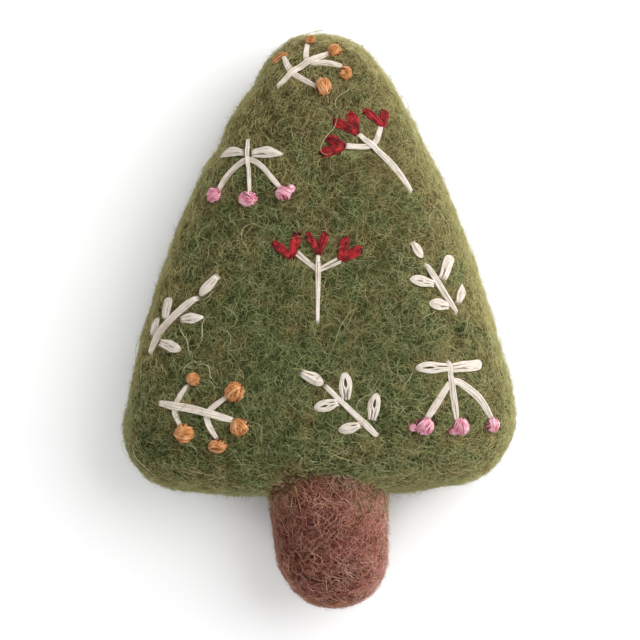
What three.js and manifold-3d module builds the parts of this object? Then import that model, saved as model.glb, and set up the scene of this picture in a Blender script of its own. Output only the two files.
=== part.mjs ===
// A needle-felted christmas tree ornament: a padded crown and trunk of dyed wool felted over a wool
// core, with nine small sprigs sewn on the front in embroidery floss.
// Millimetres. The tree lies on its back: +X right, +Y towards the tip, +Z out of the sewn front.
import * as THREE from 'three';
import { mergeVertices } from 'three/addons/utils/BufferGeometryUtils.js';
import Module from 'manifold-3d';

const wasm = await Module();
wasm.setup();

// Clearances
const gap = 0.3;                // between pieces that touch on the real ornament
const windingGap = 0.45;        // between a floss strand and itself, in loops and knots

// Crown outline, with Y measured up from the underside of the lower left corner
const crownWidth = 70.6;
const crownHeight = 82.1;
const tipRadius = 12.1;
const tipShift = 0.55;          // of the tip to the right of the middle
const leftCornerRadius = 10.9;
const rightCornerRadius = 12.3;
const rightCornerRise = 0.8;    // of the lower right corner above the left one
const leftSideRadius = 160;     // the sides and the underside bow gently outwards
const rightSideRadius = 187;
const undersideRadius = 172;

// Crown padding, seen from the side
const edgeHeight = 12;          // of the widest line above the back
const frontRise = 12;           // from the widest line up to the front face
const domeRise = 2;             // what the middle of the front stands above the face's rim
const frontRimShare = 0.45;     // where the front starts to round over, as a share of the way to the edge
const backRimShare = 0.6;       // where the flat of the back ends
const edgeSquareness = 2.2;     // 2 is an elliptic edge, more is squarer
const feltWall = 3.5;           // thickness of the dyed layer over the core

// Trunk and the root that is felted into the crown
const trunkWidth = 20.4;
const trunkThickness = 17.5;
const trunkLength = 19.9;       // shown below the crown
const trunkEndLength = 10.4;    // of the round lower end
const trunkFlare = 1.09;        // widening where it meets the crown
const trunkHeight = 11.6;       // of its middle line above the back
const trunkShift = 1.55;        // of its middle to the right, at the crown
const trunkLean = 4;            // degrees, to the right going down
const trunkSaddle = 9;          // how far the crown's round underside sinks into the trunk's top
const rootWidth = 9;
const rootThickness = 8;
const rootDepth = 5;            // into the core
const rootHold = 5;             // overlap of root and trunk

// Floss
const chartUnit = 1;            // length of one unit in the charts of the sprigs
const flossHeight = 0.6;
const stemWidth = 1.15;
const branchWidth = 0.95;
const petalWidth = 1.3;
const leafStrand = 0.65;
const bendRun = 0.8;            // length over which a strand turns down into the felt
const bendMiddle = 0.35;        // of the bend, where the strand lies at bendLift of its height
const bendLift = 0.8;
const feltUnderLeg = 1.2;       // felt left below the end of a strand
const legDepth = feltWall - feltUnderLeg;
const crossRamp = 1.2;          // length over which a strand climbs onto one that it crosses
const cornerCut = 1.5;          // where a bent strand starts to turn, before its corner
const knotTurns = 1.25;
const knotFlatness = 0.75;      // height of the knot's strand over its width
const tuckTurn = 1;             // radians that a knot's strand turns on while it runs to the middle
const tuckDrop = 0.15;          // what it sinks on the way

// Facets
const cornerSteps = 9;
const sideSteps = 6;
const edgeSteps = 5;
const faceSteps = 3;
const trunkAround = 28;
const trunkEndSteps = 5;
const rootAround = 16;
const flossSides = 5;
const flossStep = 1.4;
const turnSteps = 8;

// Steps of the measurements
const fineSteps = 40;           // along each arc of the outline
const slopeStep = 0.1;
const headingStep = 0.05;
const planSamples = 60;

const green = { color: 0x5b6b2f, roughness: 0.95, metalness: 0 };
const brown = { color: 0x6f4335, roughness: 0.95, metalness: 0 };
const undyed = { color: 0xded3bd, roughness: 0.95, metalness: 0 };
const cream = { color: 0xe3d8c6, roughness: 0.8, metalness: 0 };
const red = { color: 0x9c1420, roughness: 0.8, metalness: 0 };
const pink = { color: 0xd9788c, roughness: 0.8, metalness: 0 };
const orange = { color: 0xb9712a, roughness: 0.8, metalness: 0 };

// Crown outline: three corner circles joined by long arcs that touch them from outside
const tip = { at: new THREE.Vector2(tipShift, crownHeight - tipRadius), radius: tipRadius };
const leftCorner = {
  at: new THREE.Vector2(leftCornerRadius - crownWidth / 2, leftCornerRadius),
  radius: leftCornerRadius,
};
const rightCorner = {
  at: new THREE.Vector2(crownWidth / 2 - rightCornerRadius, rightCornerRadius + rightCornerRise),
  radius: rightCornerRadius,
};
const corners = [tip, leftCorner, rightCorner];
const sideRadii = [leftSideRadius, undersideRadius, rightSideRadius];

function sideCentre(first, second, radius) {
  const line = second.at.clone().sub(first.at);
  const length = line.length();
  line.normalize();
  const toFirst = radius - first.radius;
  const toSecond = radius - second.radius;
  const along = (toFirst ** 2 - toSecond ** 2 + length ** 2) / (2 * length);
  const inward = Math.sqrt(toFirst ** 2 - along ** 2);
  return new THREE.Vector2(
    first.at.x + line.x * along - line.y * inward,
    first.at.y + line.y * along + line.x * inward,
  );
}

const sideCentres = corners.map((corner, i) => sideCentre(corner, corners[(i + 1) % 3], sideRadii[i]));

function outline(grow, alongCorner, alongSide) {
  const points = [];
  for (let i = 0; i < 3; i++) {
    const centre = sideCentres[i];
    const next = corners[(i + 1) % 3];
    const from = corners[i].at.clone().sub(centre).angle();
    const to = next.at.clone().sub(centre).angle();
    const turned = next.at.clone().sub(sideCentres[(i + 1) % 3]).angle();
    const sideRadius = sideRadii[i] + grow;
    const cornerRadius = next.radius + grow;
    const side = new THREE.EllipseCurve(centre.x, centre.y, sideRadius, sideRadius, from, to);
    const corner = new THREE.EllipseCurve(next.at.x, next.at.y, cornerRadius, cornerRadius, to, turned);
    points.push(...side.getPoints(alongSide).slice(0, -1), ...corner.getPoints(alongCorner).slice(0, -1));
  }
  return points;
}

// The crown's heart is the middle of the three corners' inscribed circle
function inscribedCentre(a, b, c) {
  const weights = [b.distanceTo(c), c.distanceTo(a), a.distanceTo(b)];
  const sum = weights[0] + weights[1] + weights[2];
  return new THREE.Vector2(
    (a.x * weights[0] + b.x * weights[1] + c.x * weights[2]) / sum,
    (a.y * weights[0] + b.y * weights[1] + c.y * weights[2]) / sum,
  );
}

const heart = inscribedCentre(tip.at, leftCorner.at, rightCorner.at);
const fineOutline = outline(0, fineSteps, fineSteps).map((point) => point.sub(heart));

// Distance from the heart to the outline along a unit direction
function reach(direction) {
  for (let i = 0; i < fineOutline.length; i++) {
    const from = fineOutline[i];
    const edge = fineOutline[(i + 1) % fineOutline.length].clone().sub(from);
    const within = direction.cross(from) <= 0 && direction.cross(from.clone().add(edge)) > 0;
    if (within) return from.cross(edge) / direction.cross(edge);
  }
  throw new Error('the outline does not go round the heart');
}

// Height of the front over a share of the way from the heart to the edge
function frontAt(share, grow) {
  const over = Math.min(1, Math.max(0, (share - frontRimShare) / (1 - frontRimShare)));
  const round = (1 - over ** edgeSquareness) ** (1 / edgeSquareness);
  return edgeHeight + (frontRise + grow) * round + domeRise * (1 - Math.min(1, share) ** 2);
}

function frontHeight(x, y) {
  const out = new THREE.Vector2(x, y).sub(heart);
  const distance = out.length();
  if (distance === 0) return frontAt(0, 0);
  return frontAt(distance / reach(out.normalize()), 0);
}

// Point and frame of the felt's front under a place in the outline
function feltFrame(x, y) {
  const slopeX = (frontHeight(x + slopeStep, y) - frontHeight(x - slopeStep, y)) / (2 * slopeStep);
  const slopeY = (frontHeight(x, y + slopeStep) - frontHeight(x, y - slopeStep)) / (2 * slopeStep);
  return {
    at: new THREE.Vector3(x, y, frontHeight(x, y)),
    normal: new THREE.Vector3(-slopeX, -slopeY, 1).normalize(),
  };
}

// Closed body through rings of equal count, with a pole at each end
function loft(startPole, rings, endPole) {
  const count = rings[0].length;
  const positions = [startPole, ...rings.flat(), endPole].flatMap((point) => [point.x, point.y, point.z]);
  const index = [];
  const last = rings.length * count + 1;
  for (let i = 0; i < count; i++) {
    const next = (i + 1) % count;
    index.push(0, 1 + next, 1 + i);
    for (let ring = 0; ring < rings.length - 1; ring++) {
      const low = 1 + ring * count;
      const high = low + count;
      index.push(low + i, low + next, high + next);
      index.push(low + i, high + next, high + i);
    }
    const top = 1 + (rings.length - 1) * count;
    index.push(last, top + i, top + next);
  }
  const geometry = new THREE.BufferGeometry();
  geometry.setAttribute('position', new THREE.Float32BufferAttribute(positions, 3));
  geometry.setIndex(index);
  return geometry;
}

function toSolid(geometry) {
  return new wasm.Manifold(new wasm.Mesh({
    numProp: 3,
    vertProperties: new Float32Array(geometry.getAttribute('position').array),
    triVerts: new Uint32Array(geometry.getIndex().array),
  }));
}

function toGeometry(solid) {
  const mesh = solid.getMesh();
  const geometry = new THREE.BufferGeometry();
  geometry.setAttribute('position', new THREE.BufferAttribute(new Float32Array(mesh.vertProperties), 3));
  geometry.setIndex(new THREE.BufferAttribute(new Uint32Array(mesh.triVerts), 1));
  return geometry;
}

function piece(name, geometry, look) {
  const mesh = new THREE.Mesh(geometry, new THREE.MeshStandardMaterial(look));
  mesh.geometry.computeVertexNormals();
  mesh.name = name;
  return mesh;
}

// The crown's padded form, grown or shrunk all round
function padding(grow) {
  const edge = outline(grow, cornerSteps, sideSteps);
  const ring = (share, z) => edge.map((point) => new THREE.Vector3(
    heart.x + (point.x - heart.x) * share,
    heart.y + (point.y - heart.y) * share,
    z,
  ));
  const rings = [];
  for (let i = 0; i <= edgeSteps; i++) {
    const turn = (i / edgeSteps) * Math.PI / 2;
    const out = Math.sin(turn) ** (2 / edgeSquareness);
    const down = Math.cos(turn) ** (2 / edgeSquareness);
    rings.push(ring(backRimShare + (1 - backRimShare) * out, edgeHeight - (edgeHeight + grow) * down));
  }
  for (let i = edgeSteps - 1; i >= 0; i--) {
    const out = Math.sin((i / edgeSteps) * Math.PI / 2) ** (2 / edgeSquareness);
    const share = frontRimShare + (1 - frontRimShare) * out;
    rings.push(ring(share, frontAt(share, grow)));
  }
  for (let i = faceSteps - 1; i > 0; i--) {
    const share = frontRimShare * i / faceSteps;
    rings.push(ring(share, frontAt(share, grow)));
  }
  const back = new THREE.Vector3(heart.x, heart.y, -grow);
  const front = new THREE.Vector3(heart.x, heart.y, frontAt(0, grow));
  return toSolid(loft(back, rings, front));
}

// Trunk and root are ellipses strung along a leaning line that starts where the trunk meets the crown
const underside = heart.y - reach(new THREE.Vector2(0, -1));
const lean = THREE.MathUtils.degToRad(trunkLean);

function trunkRing(along, width, thickness, count) {
  const ring = [];
  for (let i = 0; i < count; i++) {
    const turn = -(i / count) * 2 * Math.PI;
    const across = Math.cos(turn) * width / 2;
    ring.push(new THREE.Vector3(
      trunkShift - along * Math.sin(lean) + across * Math.cos(lean),
      underside + along * Math.cos(lean) + across * Math.sin(lean),
      trunkHeight + Math.sin(turn) * thickness / 2,
    ));
  }
  return ring;
}

function trunkPole(along) {
  return trunkRing(along, 0, 0, 1)[0];
}

function trunkBlank() {
  const rings = [];
  for (let i = 1; i <= trunkEndSteps; i++) {
    const turn = (i / trunkEndSteps) * Math.PI / 2;
    const along = trunkEndLength * (1 - Math.cos(turn)) - trunkLength;
    const swell = Math.sin(turn);
    rings.push(trunkRing(along, trunkWidth * swell, trunkThickness * swell, trunkAround));
  }
  const flared = trunkRing(0, trunkWidth * trunkFlare, trunkThickness * trunkFlare, trunkAround);
  const top = trunkRing(trunkSaddle, trunkWidth * trunkFlare, trunkThickness * trunkFlare, trunkAround);
  return toSolid(loft(trunkPole(-trunkLength), [...rings, flared, top], trunkPole(trunkSaddle)));
}

function root(grow) {
  const end = feltWall + rootDepth + grow;
  const width = rootWidth + 2 * grow;
  const thickness = rootThickness + 2 * grow;
  const rings = [-rootHold, end].map((along) => trunkRing(along, width, thickness, rootAround));
  return toSolid(loft(trunkPole(-rootHold), rings, trunkPole(end)));
}

// Floss strands: each station has a place, the felt's normal there and the strand's heading on the felt.
// Every strand end also leaves a hole in the felt.
const needleHoles = [];

function strand(stations, width, height) {
  const rings = stations.map((station, i) => {
    const before = stations[Math.max(0, i - 1)].at;
    const after = stations[Math.min(stations.length - 1, i + 1)].at;
    const tangent = after.clone().sub(before).normalize();
    const side = station.normal.clone().cross(station.heading).normalize();
    const up = tangent.clone().cross(side).normalize();
    const ring = [];
    for (let k = 0; k < flossSides; k++) {
      const turn = (k / flossSides) * 2 * Math.PI;
      const across = side.clone().multiplyScalar(Math.cos(turn) * width / 2);
      const above = up.clone().multiplyScalar(Math.sin(turn) * height / 2);
      ring.push(station.at.clone().add(across).add(above));
    }
    return ring;
  });
  return { rings, geometry: loft(stations[0].at, rings, stations[stations.length - 1].at) };
}

function needleHole(frame, heading, width, height) {
  const side = frame.normal.clone().cross(heading).normalize();
  const forward = frame.normal.clone().cross(side);
  const above = width;
  const length = legDepth + gap + above;
  const box = new THREE.BoxGeometry(width + 2 * gap, height + 2 * gap, length);
  box.deleteAttribute('normal');
  box.deleteAttribute('uv');
  const middle = frame.at.clone().addScaledVector(frame.normal, above - length / 2);
  box.applyMatrix4(new THREE.Matrix4().makeBasis(side, forward, frame.normal).setPosition(middle));
  needleHoles.push(toSolid(mergeVertices(box)));
}

// Plan of a strand: straight runs with rounded corners
function bentPlan(points) {
  const path = new THREE.CurvePath();
  let from = points[0];
  for (let i = 1; i < points.length - 1; i++) {
    const corner = points[i];
    const before = cornerCut / corner.distanceTo(points[i - 1]);
    const after = cornerCut / corner.distanceTo(points[i + 1]);
    const start = corner.clone().lerp(points[i - 1], Math.min(0.5, before));
    const end = corner.clone().lerp(points[i + 1], Math.min(0.5, after));
    path.add(new THREE.LineCurve(from, start));
    path.add(new THREE.QuadraticBezierCurve(start, corner, end));
    from = end;
  }
  path.add(new THREE.LineCurve(from, points[points.length - 1]));
  return path;
}

function distanceToPlan(point, plan) {
  return Math.min(...plan.getSpacedPoints(planSamples).map((other) => other.distanceTo(point)));
}

// A strand laid on the felt along a plan, both ends sewn in, rising over the strands that it crosses.
// It returns its geometry and its end stations.
function laidStrand(plan, width, height, crossed = []) {
  const length = plan.getLength();
  const bend = Math.min(bendRun, length / 3);
  const rest = gap + height / 2;
  const liftAt = (point) => {
    let lift = rest;
    for (const under of crossed) {
      const clear = (width + under.width) / 2 + gap;
      const beyond = (distanceToPlan(point, under.plan) - clear) / crossRamp;
      const share = (1 + Math.cos(Math.PI * Math.min(1, Math.max(0, beyond)))) / 2;
      lift = Math.max(lift, rest + share * (under.height + gap));
    }
    return lift;
  };
  const station = (along, lifted) => {
    const point = plan.getPointAt(along / length);
    const ahead = plan.getPointAt(Math.min(1, (along + headingStep) / length));
    const behind = plan.getPointAt(Math.max(0, (along - headingStep) / length));
    const frame = feltFrame(point.x, point.y);
    const side = frame.normal.clone().cross(new THREE.Vector3(ahead.x - behind.x, ahead.y - behind.y, 0));
    const heading = side.cross(frame.normal).normalize();
    const at = frame.at.clone().addScaledVector(frame.normal, lifted * liftAt(point));
    return { at, normal: frame.normal, heading, frame };
  };
  const leg = (along) => {
    const end = station(along, 0);
    end.at.addScaledVector(end.normal, -legDepth);
    return end;
  };
  const inner = length - 2 * bend;
  const steps = Math.max(1, Math.round(inner / flossStep));
  const stations = [leg(0), station(0, 0), station(bendMiddle * bend, bendLift)];
  for (let i = 0; i <= steps; i++) {
    stations.push(station(bend + inner * i / steps, 1));
  }
  stations.push(station(length - bendMiddle * bend, bendLift), station(length, 0), leg(length));
  return {
    geometry: strand(stations, width, height).geometry,
    ends: [stations[0], stations[stations.length - 1]],
  };
}

// A single strand with a needle hole at each end
function straightStitch(plan, width, crossed = []) {
  const { geometry, ends } = laidStrand(plan, width, flossHeight, crossed);
  for (const end of ends) needleHole(end.frame, end.heading, width, flossHeight);
  return geometry;
}

// Two petals that share the hole at their base
function budStitch(base, tips) {
  const petals = tips.map((end) => laidStrand(bentPlan([base, end]), petalWidth, flossHeight));
  const shared = petals[0].ends[0];
  needleHole(shared.frame, shared.heading, petalWidth, petalWidth);
  for (const { ends } of petals) needleHole(ends[1].frame, ends[1].heading, petalWidth, flossHeight);
  const solids = petals.map((petal) => toSolid(petal.geometry));
  return toGeometry(solids[0].add(solids[1]));
}

// A loop from one side of its base, round its tip and back to the other side of its base
const loopFoot = (leafStrand + windingGap) / 2;

function loopPoints(base, end, width) {
  const along = end.clone().sub(base);
  const length = along.length() - leafStrand / 2;
  along.normalize();
  const across = new THREE.Vector2(-along.y, along.x);
  const belly = Math.max(loopFoot, (width * chartUnit - leafStrand) / 2);
  const half = [
    [0, loopFoot],
    [0.35 * length, (loopFoot + belly) / 2],
    [0.7 * length, belly],
    [0.93 * length, 0.65 * belly],
  ];
  const shape = [...half, [length, 0], ...half.map(([out, offset]) => [out, -offset]).reverse()];
  return shape.map(([out, offset]) => base.clone().addScaledVector(along, out).addScaledVector(across, offset));
}

// A leaf is one loop whose two ends share a hole
function leafStitch(base, end, width) {
  const { geometry, ends } = laidStrand(new THREE.SplineCurve(loopPoints(base, end, width)), leafStrand, flossHeight);
  needleHole(feltFrame(base.x, base.y), ends[0].heading, 2 * loopFoot + leafStrand, flossHeight);
  return geometry;
}

// A wound knot: a strand comes up, winds round and goes down through the middle, in one hole
function knotStitch(centre, size) {
  const diameter = size * chartUnit;
  const width = (diameter - 2 * windingGap) / 3;
  const height = width * knotFlatness;
  const radius = (diameter - width) / 2;
  const pitch = height + windingGap;
  const frame = feltFrame(centre.x, centre.y);
  const right = new THREE.Vector3(0, 1, 0).cross(frame.normal).normalize();
  const forward = frame.normal.clone().cross(right);
  const rest = gap + height / 2;
  const station = (turn, out, lift, inward) => {
    const radial = right.clone().multiplyScalar(Math.cos(turn)).addScaledVector(forward, Math.sin(turn));
    const tangent = frame.normal.clone().cross(radial);
    const at = frame.at.clone().addScaledVector(radial, out).addScaledVector(frame.normal, lift);
    const heading = tangent.multiplyScalar(1 - inward).addScaledVector(radial, -inward).normalize();
    return { at, normal: frame.normal, heading };
  };
  const stations = [station(0, radius, -legDepth, 0), station(0, radius, 0, 0)];
  const total = Math.round(turnSteps * knotTurns);
  for (let i = 1; i <= total; i++) {
    const turns = knotTurns * i / total;
    stations.push(station(turns * 2 * Math.PI, radius, rest + turns * pitch, 0));
  }
  const topLift = rest + knotTurns * pitch;
  const endTurn = knotTurns * 2 * Math.PI;
  for (const share of [0.4, 0.85]) {
    const lift = topLift - share * tuckDrop;
    stations.push(station(endTurn + share * tuckTurn, radius * (1 - share), lift, share));
  }
  stations.push(station(endTurn + tuckTurn, 0, topLift - height, 1));
  stations.push(station(endTurn + tuckTurn, 0, -legDepth, 1));
  const holeMiddle = { at: frame.at.clone().addScaledVector(right, radius / 2), normal: frame.normal };
  needleHole(holeMiddle, forward, radius + width, width);
  const wound = strand(stations, width, height);
  measureGap(wound.rings, stations, width);
  return wound.geometry;
}

// Least distance between the strand's surface and itself, measured on ring points that lie
// more than three strand widths apart along the strand
let leastKnotGap = Infinity;

function measureGap(rings, stations, width) {
  const along = [0];
  for (let i = 1; i < stations.length; i++) {
    along.push(along[i - 1] + stations[i].at.distanceTo(stations[i - 1].at));
  }
  for (let i = 0; i < rings.length; i++) {
    for (let j = i + 1; j < rings.length; j++) {
      if (along[j] - along[i] < 3 * width) continue;
      for (const one of rings[i]) {
        for (const other of rings[j]) {
          leastKnotGap = Math.min(leastKnotGap, one.distanceTo(other));
        }
      }
    }
  }
}

// Sprigs stand at a bearing from the heart, in degrees, and at a share of the way to the edge.
// Their own points and sizes are in chart units from there.
function sprigPlace(bearing, share) {
  const angle = THREE.MathUtils.degToRad(bearing);
  const direction = new THREE.Vector2(Math.cos(angle), Math.sin(angle));
  const place = heart.clone().addScaledVector(direction, share * reach(direction));
  return ([x, y]) => new THREE.Vector2(place.x + x * chartUnit, place.y + y * chartUnit);
}

// The point that is a given distance before the end of a run
function shortOf(end, from, distance) {
  return end.clone().lerp(from, distance / end.distanceTo(from));
}

function knotRoom(size) {
  return size * chartUnit / 2 + gap + flossHeight / 2;
}

const petalRoom = petalWidth / 2 + gap + flossHeight / 2;
const seedRoom = branchWidth / 2 + 2 * gap + flossHeight / 2;

function trimmed(points, startRoom, endRoom) {
  const last = points.length - 1;
  const result = [...points];
  result[0] = shortOf(points[0], points[1], startRoom);
  result[last] = shortOf(points[last], points[last - 1], endRoom);
  return result;
}

function berrySprig(name, place, { stem, headKnot, pairs }) {
  const sprig = new THREE.Group();
  const crossed = pairs.map((pair, i) => {
    const ends = [pair.first, pair.second];
    const room = ends.map((end) => (end.seed ? seedRoom : knotRoom(end.knot)));
    const points = [place(ends[0].at), ...pair.bends.map(place), place(ends[1].at)];
    const plan = bentPlan(trimmed(points, room[0], room[1]));
    const geometry = straightStitch(plan, branchWidth);
    sprig.add(piece(`${name}_branch_${i + 1}`, geometry, cream));
    return { plan, width: branchWidth, height: flossHeight };
  });
  const stemPoints = [...stem.map(place), place(headKnot.at)];
  const last = stemPoints.length - 1;
  stemPoints[last] = shortOf(stemPoints[last], stemPoints[last - 1], knotRoom(headKnot.knot));
  sprig.add(piece(`${name}_stem`, straightStitch(bentPlan(stemPoints), stemWidth, crossed), cream));
  const berries = [headKnot, ...pairs.flatMap((pair) => [pair.first, pair.second])];
  berries.forEach((berry, i) => {
    const geometry = berry.seed
      ? straightStitch(bentPlan(berry.seed.map(place)), branchWidth)
      : knotStitch(place(berry.at), berry.knot);
    sprig.add(piece(`${name}_berry_${i + 1}`, geometry, orange));
  });
  return sprig;
}

function budSprig(name, place, { foot, vertex, buds }) {
  const sprig = new THREE.Group();
  const forkPoints = [place(buds.left.base), place(vertex), place(buds.right.base)];
  const forkPlan = bentPlan(trimmed(forkPoints, petalRoom, petalRoom));
  const fork = { plan: forkPlan, width: branchWidth, height: flossHeight };
  sprig.add(piece(`${name}_fork`, straightStitch(forkPlan, branchWidth), cream));
  const stemEnd = shortOf(place(buds.middle.base), place(foot), petalRoom);
  const stemPlan = bentPlan([place(foot), stemEnd]);
  sprig.add(piece(`${name}_stem`, straightStitch(stemPlan, stemWidth, [fork]), cream));
  for (const [side, bud] of Object.entries(buds)) {
    sprig.add(piece(`${name}_bud_${side}`, budStitch(place(bud.base), bud.tips.map(place)), red));
  }
  return sprig;
}

function trio(name, place, { top, knots, bends, bow }) {
  const sprig = new THREE.Group();
  const ends = knots.map((end) => place(end.at));
  const sidePoints = [ends[0], ...bends.map(place), ends[2]];
  const sidePlan = bentPlan(trimmed(sidePoints, knotRoom(knots[0].knot), knotRoom(knots[2].knot)));
  sprig.add(piece(`${name}_side_stems`, straightStitch(sidePlan, branchWidth), cream));
  const bowRoom = (stemWidth + leafStrand) / 2 + gap;
  const lobes = bow.lobes.map((lobe) => {
    const end = place(lobe.tip);
    const middle = place(bow.middle);
    return loopPoints(middle.clone().lerp(end, bowRoom / middle.distanceTo(end)), end, lobe.width);
  });
  const bowPlan = new THREE.SplineCurve(lobes.flat());
  sprig.add(piece(`${name}_bow`, straightStitch(bowPlan, leafStrand), cream));
  const crossed = [
    { plan: sidePlan, width: branchWidth, height: flossHeight },
    { plan: bowPlan, width: leafStrand, height: flossHeight },
  ];
  const stemPlan = bentPlan([place(top), shortOf(ends[1], place(top), knotRoom(knots[1].knot))]);
  sprig.add(piece(`${name}_stem`, straightStitch(stemPlan, stemWidth, crossed), cream));
  ['left', 'middle', 'right'].forEach((side, i) => {
    sprig.add(piece(`${name}_berry_${side}`, knotStitch(ends[i], knots[i].knot), pink));
  });
  return sprig;
}

// Leaves leave the stem at a distance up from its foot; the last one ends it
function leafSprig(name, place, { head, leaves, endLeaf }) {
  const sprig = new THREE.Group();
  const foot = place([0, 0]);
  const top = place(head);
  const stemPlan = bentPlan([foot, top]);
  sprig.add(piece(`${name}_stem`, straightStitch(stemPlan, stemWidth), cream));
  const up = top.clone().sub(foot).normalize();
  const footHalf = loopFoot + leafStrand / 2;
  const addLeaf = (label, base, end, width) => {
    sprig.add(piece(`${name}_leaf_${label}`, leafStitch(base, end, width), cream));
  };
  for (const leaf of leaves) {
    const end = place(leaf.tip);
    const start = foot.clone().addScaledVector(up, leaf.up * chartUnit);
    const axis = end.clone().sub(start).normalize();
    const side = Math.sign(up.cross(axis));
    const outward = new THREE.Vector2(-up.y * side, up.x * side);
    const room = Math.abs(axis.dot(up)) * footHalf + axis.dot(outward) * flossHeight / 2;
    const base = start.addScaledVector(outward, stemWidth / 2 + gap + room);
    addLeaf(leaf.name, base, end, leaf.width);
  }
  addLeaf('end', top.clone().addScaledVector(up, flossHeight + gap), place(endLeaf.tip), endLeaf.width);
  return sprig;
}

const embroidery = new THREE.Group();
embroidery.add(
  berrySprig('top_berry_sprig', sprigPlace(99.8, 0.878), {
    stem: [[0, 0], [4.4, 3.6]],
    headKnot: { at: [10.2, 6.5], knot: 2.5 },
    pairs: [
      {
        first: { at: [0.4, 5.2], seed: [[-0.8, 4.4], [1.6, 6]] },
        bends: [[2.1, 2.8], [3.4, 1.7]],
        second: { at: [8.2, 0.1], knot: 2.9 },
      },
      {
        first: { at: [6, 8.3], knot: 2.5 },
        bends: [[4.9, 5.1], [6.5, 3.9], [8.7, 4]],
        second: { at: [12.1, 2.5], knot: 2.5 },
      },
    ],
  }),
  berrySprig('lower_berry_sprig', sprigPlace(-156.8, 0.812), {
    stem: [[0, 0], [6.4, -1.2]],
    headKnot: { at: [14.3, -4.2], knot: 3.2 },
    pairs: [
      {
        first: { at: [6.2, 4.2], knot: 2.5 },
        bends: [[3.4, 0.6], [2.6, -1.5]],
        second: { at: [4.3, -5.6], knot: 3.4 },
      },
      {
        first: { at: [13.4, 2], knot: 3.5 },
        bends: [[8.8, -1.2], [8.3, -3]],
        second: { at: [10.3, -7.5], knot: 2.9 },
      },
    ],
  }),
  budSprig('upper_bud_sprig', sprigPlace(57.4, 0.808), {
    foot: [0, 0],
    vertex: [-6.9, 7.7],
    buds: {
      left: { base: [-11.7, 7.9], tips: [[-14.8, 9.5], [-16, 6.6]] },
      middle: { base: [-9.6, 10.2], tips: [[-10.8, 13.9], [-13.7, 12.5]] },
      right: { base: [-5, 11.5], tips: [[-8.1, 14.4], [-4.6, 14.5]] },
    },
  }),
  budSprig('middle_bud_sprig', sprigPlace(99.3, 0.043), {
    foot: [0, 0],
    vertex: [0.1, 9.1],
    buds: {
      left: { base: [-4.6, 11.3], tips: [[-7.8, 14], [-3.6, 15.7]] },
      middle: { base: [0.2, 12.1], tips: [[-1.8, 15.7], [1.5, 15.7]] },
      right: { base: [4, 11], tips: [[5, 15], [7.8, 13.1]] },
    },
  }),
  trio('upper_trio', sprigPlace(110.3, 0.855), {
    top: [0, 0],
    knots: [{ at: [-6.2, -9.8], knot: 2.5 }, { at: [-0.1, -10.5], knot: 2.9 }, { at: [6.5, -9.2], knot: 2.7 }],
    bends: [[0, -3.4]],
    bow: { middle: [0, -2.5], lobes: [{ tip: [-5, -3], width: 1.8 }, { tip: [6.5, -2.5], width: 2 }] },
  }),
  trio('lower_trio', sprigPlace(-12.2, 0.674), {
    top: [0, 0],
    knots: [{ at: [-4.4, -11.7], knot: 3.2 }, { at: [2.6, -11.7], knot: 3.2 }, { at: [8.1, -11.3], knot: 2.5 }],
    bends: [[0.7, -2.7], [5.2, -6.2]],
    bow: { middle: [0.3, -1.2], lobes: [{ tip: [6.1, -0.3], width: 1.8 }, { tip: [-5.9, -1.3], width: 2 }] },
  }),
  leafSprig('right_leaf_sprig', sprigPlace(8.3, 0.793), {
    head: [-5.3, 8.7],
    leaves: [
      { name: 'upper_left', up: 6.6, tip: [-8.4, 6.2], width: 2 },
      { name: 'upper_right', up: 6.6, tip: [-0.9, 10.5], width: 2 },
      { name: 'lower_left', up: 1.7, tip: [-4.9, 2], width: 2.1 },
      { name: 'lower_right', up: 1.3, tip: [1.1, 5.3], width: 1.6 },
    ],
    endLeaf: { tip: [-7.8, 12.7], width: 1.6 },
  }),
  leafSprig('left_leaf_sprig', sprigPlace(-173.3, 0.913), {
    head: [8.1, 9.8],
    leaves: [
      { name: 'upper_left', up: 6.5, tip: [3.7, 10.1], width: 1.6 },
      { name: 'upper_right', up: 8.1, tip: [9.6, 6.5], width: 1.8 },
      { name: 'lower_left', up: 2.9, tip: [1.6, 6.5], width: 1.6 },
      { name: 'lower_right', up: 2.6, tip: [5.4, 0.6], width: 2 },
    ],
    endLeaf: { tip: [11.7, 13.6], width: 1.7 },
  }),
  leafSprig('lower_leaf_sprig', sprigPlace(-60.7, 0.639), {
    head: [-9, 8.7],
    leaves: [
      { name: 'upper_left', up: 9, tip: [-11.2, 4.8], width: 2.1 },
      { name: 'upper_right', up: 8.5, tip: [-5.6, 11.3], width: 2.3 },
      { name: 'lower_left', up: 3.3, tip: [-6.8, 0.8], width: 2 },
      { name: 'lower_right', up: 2.5, tip: [-0.1, 7.6], width: 2.1 },
    ],
    endLeaf: { tip: [-13.4, 11], width: 2.1 },
  }),
);
console.log(`least gap of a knot's strand to itself: ${leastKnotGap.toFixed(2)} mm`);

// The dyed layer is open at the trunk's socket and at the needle holes.
// Crumbs of felt between needle holes that run into each other are left out.
const socket = root(gap);
const pierced = needleHoles.reduce(
  (felt, hole) => felt.subtract(hole),
  padding(0).subtract(padding(-feltWall)).subtract(socket),
);
const crownSolid = pierced.decompose().reduce((most, body) => (body.volume() > most.volume() ? body : most));
const coreSolid = padding(-feltWall - gap).subtract(socket);
const trunkSolid = trunkBlank().subtract(padding(gap)).add(root(0));

const ornament = new THREE.Group();
ornament.add(
  piece('crown_felt', toGeometry(crownSolid), green),
  piece('wool_core', toGeometry(coreSolid), undyed),
  piece('trunk_felt', toGeometry(trunkSolid), brown),
  embroidery,
);

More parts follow.
